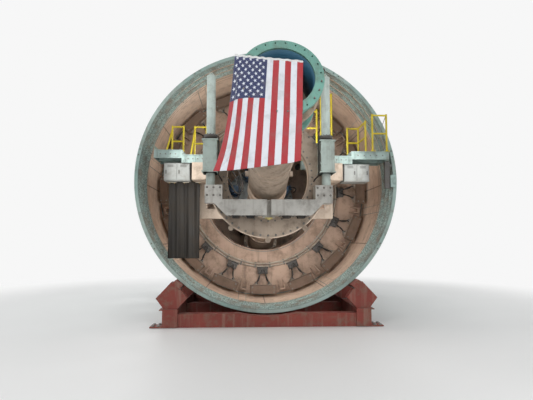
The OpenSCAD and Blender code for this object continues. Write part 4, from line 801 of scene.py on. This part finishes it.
# Deck details: checker plate, toe boards, fascia ribs and bolts, cable trays with looms, base
# plates and end braces of the rails, and doors, vents and handles on the cabinets.
plate = painted("checker_plate", (0.3, 0.36, 0.34), 0.45, 0.6, 0.2, 0.6)
t = plate.node_tree
where = t.nodes["Texture Coordinate"].outputs["Object"]
flat = put(t, "Mapping", (0, where), (2, (0, 0, math.radians(45))), (3, (26, 26, 0)))
bars, gaps = [put(t, "TexWave", ("Vector", flat), ("Scale", 0.32), bands_direction=way) for way in "XY"]
tread = calc(t, "MULTIPLY", ramp(t, bars, 0.5, 0.7), ramp(t, gaps, 0.3, 0.5))
wire(t, t.nodes["Principled BSDF"], height=tread, depth=0.004, strength=0.8)
treads = []
for x0, x1, t0, t1, z in ((1.38, 1.975, -0.25, 2.29, 0.54), (1.99, 2.87, -0.25, 0.67, 0.65),
                          (-1.975, -1.38, -0.25, 2.29, 0.54), (-2.63, -1.99, -0.25, 0.67, 0.65),
                          (0.89, 1.36, 0.48, 0.72, 0.54)):
    treads.append(slab(x1 - x0, t1 - t0, 0.006, 0.002, place((x0 + x1) / 2, (t0 + t1) / 2, z + 0.003)))
piece("deck_treads", joined(*treads), plate, "shield", False)
# Ribs and a strip on each fascia, then on both sides a toe board and a tray with seven slack cables
fascia_t = -0.27
fascia, fixings, trays, looms = [], [], [], []
for x0, x1, z in ((1.4, 1.97, 0.445), (2.02, 2.85, 0.555), (-1.97, -1.4, 0.445), (-2.61, -2.02, 0.555)):
    n = 4 if x1 - x0 > 0.7 else 3
    for x in np.linspace(x0 + 0.05, x1 - 0.05, n):
        fascia.append(slab(0.014, 0.022, 0.15, 0.003, place(x, fascia_t, z)))
    fascia.append(slab(x1 - x0, 0.02, 0.018, 0.003, place((x0 + x1) / 2, fascia_t, z + 0.083)))
    fixings += [place(x, fascia_t + 0.01, z) for x in np.linspace(x0 + 0.12, x1 - 0.12, n + 1)]
for s, far in ((1, 2.87), (-1, 2.63)):
    fascia.append(slab(0.008, 0.93, 0.1, 0.002, place(s * far, 0.21, 0.7)))
    trays.append(slab(0.3, 2.3, 0.008, 0.002, place(s * 2.16, 1.85, 0.4)))
    for k in range(7):
        u = np.linspace(0, 1, 12)
        x = s * (2.04 + 0.04 * k + 0.008 * np.sin(3 * k + 5 * u))
        wave = np.stack([x, 0.75 + 2.2 * u, 0.424 + 0.006 * np.sin(4 * u + k)], -1)
        looms.append(along(wave + place(0, 0, 0), 0.017, 8, (0, 0, 1)))
piece("deck_fascia", joined(*fascia, *trays), deck_paint, "shield", False)
piece("deck_fixings", copies(bolt(0.014), stand(fixings, (0, -1, 0))), screw_steel, "shield")
piece("deck_looms", joined(*looms), hose_finish, "shield")
corners = stand([(x, y, 0.01) for x in (-0.04, 0.04) for y in (-0.04, 0.04)])
base = joined(slab(0.12, 0.12, 0.01, 0.002, (0, 0, 0.005)), copies(bolt(0.01), corners))
posts = [place(x, 0.55, 0.656) for x in (-2.354, -2.075, 2.075, 2.354)]
posts += [place(x, 0.55, 0.546) for x in (-1.794, -1.5, 1.4, 1.67, 0.95, 1.29)]
posts += [place(x, -0.225, 0.656) for x in (2.5, 2.84)]
piece("rail_feet", copies(base, stand(posts)), rail_yellow, "shield")
thin = [along([place(2.67 + x, -0.225, z) for x, z in ((-side, 1.5), (0, 1.1), (side, 0.7))], 0.008, 8)
        for side in (0.15, -0.15)]
piece("end_braces", joined(*thin), cabinet_paint, "shield")
doors, dark = [], []
for s in (-1, 1):
    for x in (1.96, 2.26):
        doors.append(slab(0.28, 0.014, 0.37, 0.004, place(s * x, -0.206, 0.145)))
        dark.append(slab(0.018, 0.02, 0.09, 0.003, place(s * (x + 0.1), -0.222, 0.14)))
        dark += [slab(0.14, 0.006, 0.008, 0.002, place(s * x, -0.214, z)) for z in (0.26, 0.28, 0.3)]
piece("cabinet_doors", joined(*doors), cabinet_paint, "shield", False)
piece("cabinet_handles", joined(*dark), dark_steel, "shield", False)

# Launch cradle: welded steel beams and gussets in red oxide primer with dried mud, and two rails
# that carry the shield 40 degrees each side of its lowest line.
cradle_oxide = painted("cradle_oxide", (0.24, 0.045, 0.032), 0.68, 0.6, 0.5, 0.5, dirt=(0.2, 0.16, 0.12))
dress(cradle_oxide, "cradle_base", "cradle_gussets", "cradle_rails")

# Cradle details: foot plates with anchor bolts, stiffeners on the beams' outer webs, weld beads
# along the rails and gussets, and end plates.

# Stations of the cross beams, then the rails' radius, front end and angle
cross = [-0.15 + 1.72 * k for k in range(6)]
rail_r, rail_end, rail_s, rail_c = 3.235, 8.55, math.sin(math.radians(40)), math.cos(math.radians(40))
plates, anchors, ribs = [], [], []
for s in (-1, 1):
    for t in cross:
        plates.append(slab(0.3, 0.34, 0.03, 0.005, (s * 2.5, t + tail_y, 0.016)))
        anchors += [(s * x, t + d + tail_y, 0.031) for x in (2.46, 2.58) for d in (-0.11, 0.11)]
        for d in (0.43, 0.86, 1.29):
            if t + d < rail_end:
                ribs.append(slab(0.09, 0.018, 0.36, 0.004, (s * 2.395, t + d + tail_y, 0.2)))
    ribs.append(slab(0.1, 8.9, 0.02, 0.004, (s * 2.4, 4.15 + tail_y, 0.39)))
    ribs.append(slab(0.34, 0.025, 0.4, 0.005, (s * 2.2, -0.312 + tail_y, 0.21)))
piece("cradle_plates", joined(*plates, *ribs), cradle_oxide, "shield", False)
piece("cradle_anchors", copies(bolt(0.036), stand(anchors)), screw_steel, "shield")
beads = []
for s in (-1, 1):
    for w in (-0.105, 0.105):
        x, z = rail_r * rail_s + w * rail_c, rail_r * rail_c - w * rail_s
        beads.append(along([(s * x, t + tail_y, axis_z - z) for t in (-0.29, 4, rail_end)], 0.01, 8,
                           (1, 0, 0.3)))
    for t in cross:
        for d in (-0.155, 0.155):
            beads.append(along([(s * x, t + d + tail_y, 0.403) for x in (2.06, 2.2, 2.34)], 0.009, 8))
piece("cradle_welds", joined(*beads), bead, "shield")


# Striped flag: a sewn nylon flag, 1.21 m by 1.80 m, tied by its canvas heading to the conveyor's rear
# flange. It leans on the tilted flange, its left corner bent round the rim, and hangs free below.


def hung(start, cut, pinned, solids, frames):
    """Blender's cloth on a grid of points (rows, cols, 3), with the cut's flat grid as its rest shape.
    Returns the points of its last frame."""
    me = bpy.data.meshes.new("hung")
    rows, cols = start.shape[:2]
    me.from_pydata(start.reshape(-1, 3).tolist(), [], net(rows, cols, False).tolist())
    o = bpy.data.objects.new("hung", me)
    link(o)
    o.shape_key_add(name="start")
    o.shape_key_add(name="cut").data.foreach_set("co", cut.astype(np.float32).ravel())
    o.vertex_groups.new(name="pins").add([int(i) for i in pinned], 1.0, "REPLACE")
    c = o.modifiers.new("cloth", "CLOTH")
    s = c.settings
    s.quality, s.mass, s.air_damping = 7, 0.25, 4
    s.tension_stiffness, s.compression_stiffness, s.shear_stiffness, s.bending_stiffness = 25, 25, 6, 0.4
    s.vertex_group_mass, s.rest_shape_key = "pins", me.shape_keys.key_blocks["cut"]
    apart = 0.006
    c.collision_settings.distance_min = c.collision_settings.self_distance_min = apart
    c.collision_settings.use_self_collision = True
    c.point_cache.frame_end = frames
    walls = []
    for n in solids:
        w = bpy.data.objects.new("wall", nodes[n].data.copy())
        link(w)
        w.modifiers.new("wall", "COLLISION")
        w.collision.thickness_outer, w.collision.cloth_friction = apart, 12
        walls.append(w)
    for f in range(1, frames + 1):
        bpy.context.scene.frame_set(f)
    found = np.zeros(rows * cols * 3, np.float32)
    o.evaluated_get(bpy.context.evaluated_depsgraph_get()).data.vertices.foreach_get("co", found)
    for w in walls + [o]:
        bpy.data.objects.remove(w)
    bpy.context.scene.frame_set(1)
    return found.reshape(rows, cols, 3).astype(float)


def cloth(name, points, finish, body, thick):
    """A sheet from a grid of points, with its cut as the UV map "cut", smoothed and given thickness."""
    rows, cols = points.shape[:2]
    o = piece(name, (points.reshape(-1, 3), net(rows, cols, False)), finish, body)
    at = np.zeros(len(o.data.loops), np.int32)
    o.data.loops.foreach_get("vertex_index", at)
    o.data.uv_layers.new(name="cut").data.foreach_set(
        "uv", np.stack([at % cols / (cols - 1), at // cols / (rows - 1)], -1).astype(np.float32).ravel())
    sub = o.modifiers.new("smooth", "SUBSURF")
    sub.levels = sub.render_levels = 1
    o.modifiers.new("thick", "SOLIDIFY").thickness = thick
    return o


flag_w, flag_l = 1.21, 1.8
rows, cols = 96, 78
u, v = np.meshgrid(np.linspace(0, 1, cols), np.linspace(0, 1, rows))
# The heading is drawn in by its rope, most on the left, and the right side is tucked up
stripes, canton = 13, 7 / 13
drawn = np.where(u < canton, u * 0.79, canton * 0.79 + (u - canton) * 0.952) * flag_w
down = v * (flag_l - 0.25 * u)
cut = np.stack([drawn * (1 - v) + u * flag_w * v, 0 * u, -down], -1)
# The middle of the flange's rear face
face = np.array([0, -7.00892, 4.33289])
# Heading: folds of 103 mm, and of 134 mm right of the seam at 515 mm, then down the flange's face to
# its lower rim, then a free fall
s, seam = drawn[0], 0.515
slope = np.where(s < seam, 0.58 * np.cos(s * 2 * math.pi / 0.103),
                 0.32 * np.cos((s - seam) * 2 * math.pi / 0.134))
mean = (slope[1:] + slope[:-1]) / 2 * np.diff(s)
head_x = np.concatenate([[0], np.cumsum(np.sqrt(np.diff(s) ** 2 - mean**2))])
head_x = 0.324 - 0.998 * (1 - head_x / head_x[-1])
head_s = 0.026 + np.concatenate([[0], np.cumsum(mean)])
tied = 0.35 - 0.09 * u
lie = np.minimum(down, tied + 0.63)
hang = down - lie
x = head_x[None] * (1 - v) + (-0.955 + u * 1.205) * v
start = (x[..., None] * [1, 0, 0] + face + (tied - lie)[..., None] * up
         + (head_s[None] * (1 - v) + 0.05 * v)[..., None] * rearward - hang[..., None] * [0, 0, 1.0])
flag_finish, t, b, where = shader("flag_fabric")
wide, low_v = split(t, put(t, "UVMap", uv_map="cut"))[:2]
white = (0.74, 0.77, 0.82)
odd = calc(t, "MODULO", calc(t, "FLOOR", calc(t, "MULTIPLY", wide, stripes)), 2)
tone = mix(t, odd, (0.4, 0.018, 0.026), white)
# Stars: the nearest point of a staggered grid, then a five-pointed edge 11 mm from its middle
star_x, star_y, star_r = 65.7, 61.0, 11.2
i, j = calc(t, "MULTIPLY", wide, 130 / 7), calc(t, "MULTIPLY", low_v, 30)
da = calc(t, "ROUND", calc(t, "MULTIPLY", calc(t, "ADD", i, j), 0.5))
db = calc(t, "ROUND", calc(t, "MULTIPLY", calc(t, "SUBTRACT", j, i), 0.5))
i0, j0 = calc(t, "SUBTRACT", da, db), calc(t, "ADD", da, db)
dx = calc(t, "MULTIPLY", calc(t, "SUBTRACT", i0, i), star_x)
dy = calc(t, "MULTIPLY", calc(t, "SUBTRACT", j, j0), star_y)
r = calc(t, "SQRT", calc(t, "ADD", calc(t, "MULTIPLY", dx, dx), calc(t, "MULTIPLY", dy, dy)))
turn = calc(t, "PINGPONG", calc(t, "ARCTAN2", dy, dx), math.pi / 5)
edge = calc(t, "MULTIPLY", r, calc(t, "COSINE", calc(t, "SUBTRACT", 2 * math.pi / 5, turn)))
star = ramp(t, edge, star_r - 0.6, star_r + 0.6, 1, 0)
for value, low, high in ((i0, 0.5, 9.5), (j0, 0.5, 11.5)):
    star = calc(t, "MULTIPLY", star, calc(t, "MULTIPLY", calc(t, "GREATER_THAN", value, low),
                                          calc(t, "LESS_THAN", value, high)))
corner = calc(t, "MULTIPLY", calc(t, "LESS_THAN", wide, canton), calc(t, "LESS_THAN", low_v, 0.4))
tone = mix(t, corner, tone, mix(t, star, (0.012, 0.022, 0.095), white))
# The heading's canvas, soil, and the relief of seams, creases and weave
tone = mix(t, calc(t, "LESS_THAN", low_v, 0.021), tone, (0.72, 0.73, 0.72))
soil = noise(t, where, 5, 7, 0.6)
tone = mix(t, ramp(t, soil, 0.46, 0.75, 0, 0.3), tone, (0.2, 0.18, 0.17))
sewn = ramp(t, calc(t, "PINGPONG", calc(t, "MULTIPLY", wide, stripes), 0.5), 0.02, 0.06)
creased = ramp(t, calc(t, "PINGPONG", calc(t, "MULTIPLY", low_v, 6), 0.5), 0.0, 0.03)
weave = noise(t, where, 900, 2, 0.5)
height = calc(t, "ADD", calc(t, "ADD", sewn, calc(t, "MULTIPLY", creased, 0.8)),
              calc(t, "MULTIPLY", weave, 0.25))
wire(t, b, tone, ramp(t, soil, 0.3, 0.7, 0.5, 0.66), height, 0.002, 0.7)
b.inputs["Sheen Weight"].default_value = 0.25
# Pinned along its heading and at its two lower corners, which are tied back
points = hung(start, cut, [*range(cols), (rows - 1) * cols, rows * cols - 1],
              ("screw_housing", "screw_casing"), 70)
flag = cloth("flag", points, flag_finish, "shield", 0.0012)
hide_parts("flag_cloth")

# Dark curtain: a sheet of heavy tarpaulin, 0.86 m by 1.80 m, gathered on a line below the left
# deck. Its folds open towards the lower edge, which is dusty.
curtain_finish, t, b, where = shader("curtain_cloth")
weave = noise(t, where, 420, 3, 0.6)
dust = noise(t, where, 3.2, 7, 0.62)
tone = mix(t, ramp(t, dust, 0.35, 0.7), (0.008, 0.006, 0.004), (0.026, 0.02, 0.014))
wire(t, b, mix(t, ramp(t, weave, 0.4, 0.7, 0, 0.3), tone, (0.05, 0.041, 0.03)),
     ramp(t, dust, 0.3, 0.7, 0.6, 0.85), weave, 0.0015, 0.5)
low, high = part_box("side_curtain")
mid_y = (low[1] + high[1]) / 2
rows, cols = 60, 49
u, v = np.meshgrid(np.linspace(0, 1, cols), np.linspace(0, 1, rows))
cut = np.stack([u * 0.86, 0 * u, -v * 1.8], -1)
# Deep folds of 40 mm with small ones of 16 mm across them, deeper towards the lower edge
fold = 0.04 * np.sin(2 * math.pi * (2.3 * u + 0.1 * v))
fold = (fold + 0.016 * np.sin(2 * math.pi * (5.7 * u - 0.25 * v) + 1)) * (0.6 + 0.5 * v)
start = np.stack([low[0] + (high[0] - low[0]) * u, mid_y + fold, high[2] - 0.004 - v * 1.8], -1)
points = hung(start, cut, range(cols), (), 40)
curtain = cloth("curtain", points, curtain_finish, "shield", 0.002)
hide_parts("side_curtain")

# Curtain's fixings: a line of fibre rope along its upper edge, and seven brass rings sewn below it.
# The line's ends reach past the cloth to the deck's underside.
brass, t, b, where = shader("brass", 1.0)
wire(t, b, mix(t, noise(t, where, 40, 4), (0.55, 0.4, 0.16), (0.3, 0.2, 0.09)), noise(t, where, 30, 4))
rope, t, b, where = shader("rope_fibre")
wire(t, b, mix(t, noise(t, where, 80, 4), (0.42, 0.36, 0.27), (0.6, 0.55, 0.45)), noise(t, where, 20, 3),
     noise(t, where, 160, 2), 0.002, 0.8)
eyelet = along(ring_points(0.011, 0, np.linspace(0, 2 * math.pi, 17)), 0.003, 8, (0, 0, 1))
top = [(low[0] + (high[0] - low[0]) * k, mid_y, high[2] - 0.03) for k in np.linspace(0.02, 0.98, 7)]
piece("curtain_rings", copies(eyelet, stand(top, (0, -1, 0))), brass, "shield")
line = [(low[0] - 0.03, mid_y, high[2] - 0.01), ((low[0] + high[0]) / 2, mid_y, high[2] - 0.014),
        (high[0] + 0.03, mid_y, high[2] - 0.01)]
piece("curtain_line", along(line, 0.008, 8), rope, "shield")
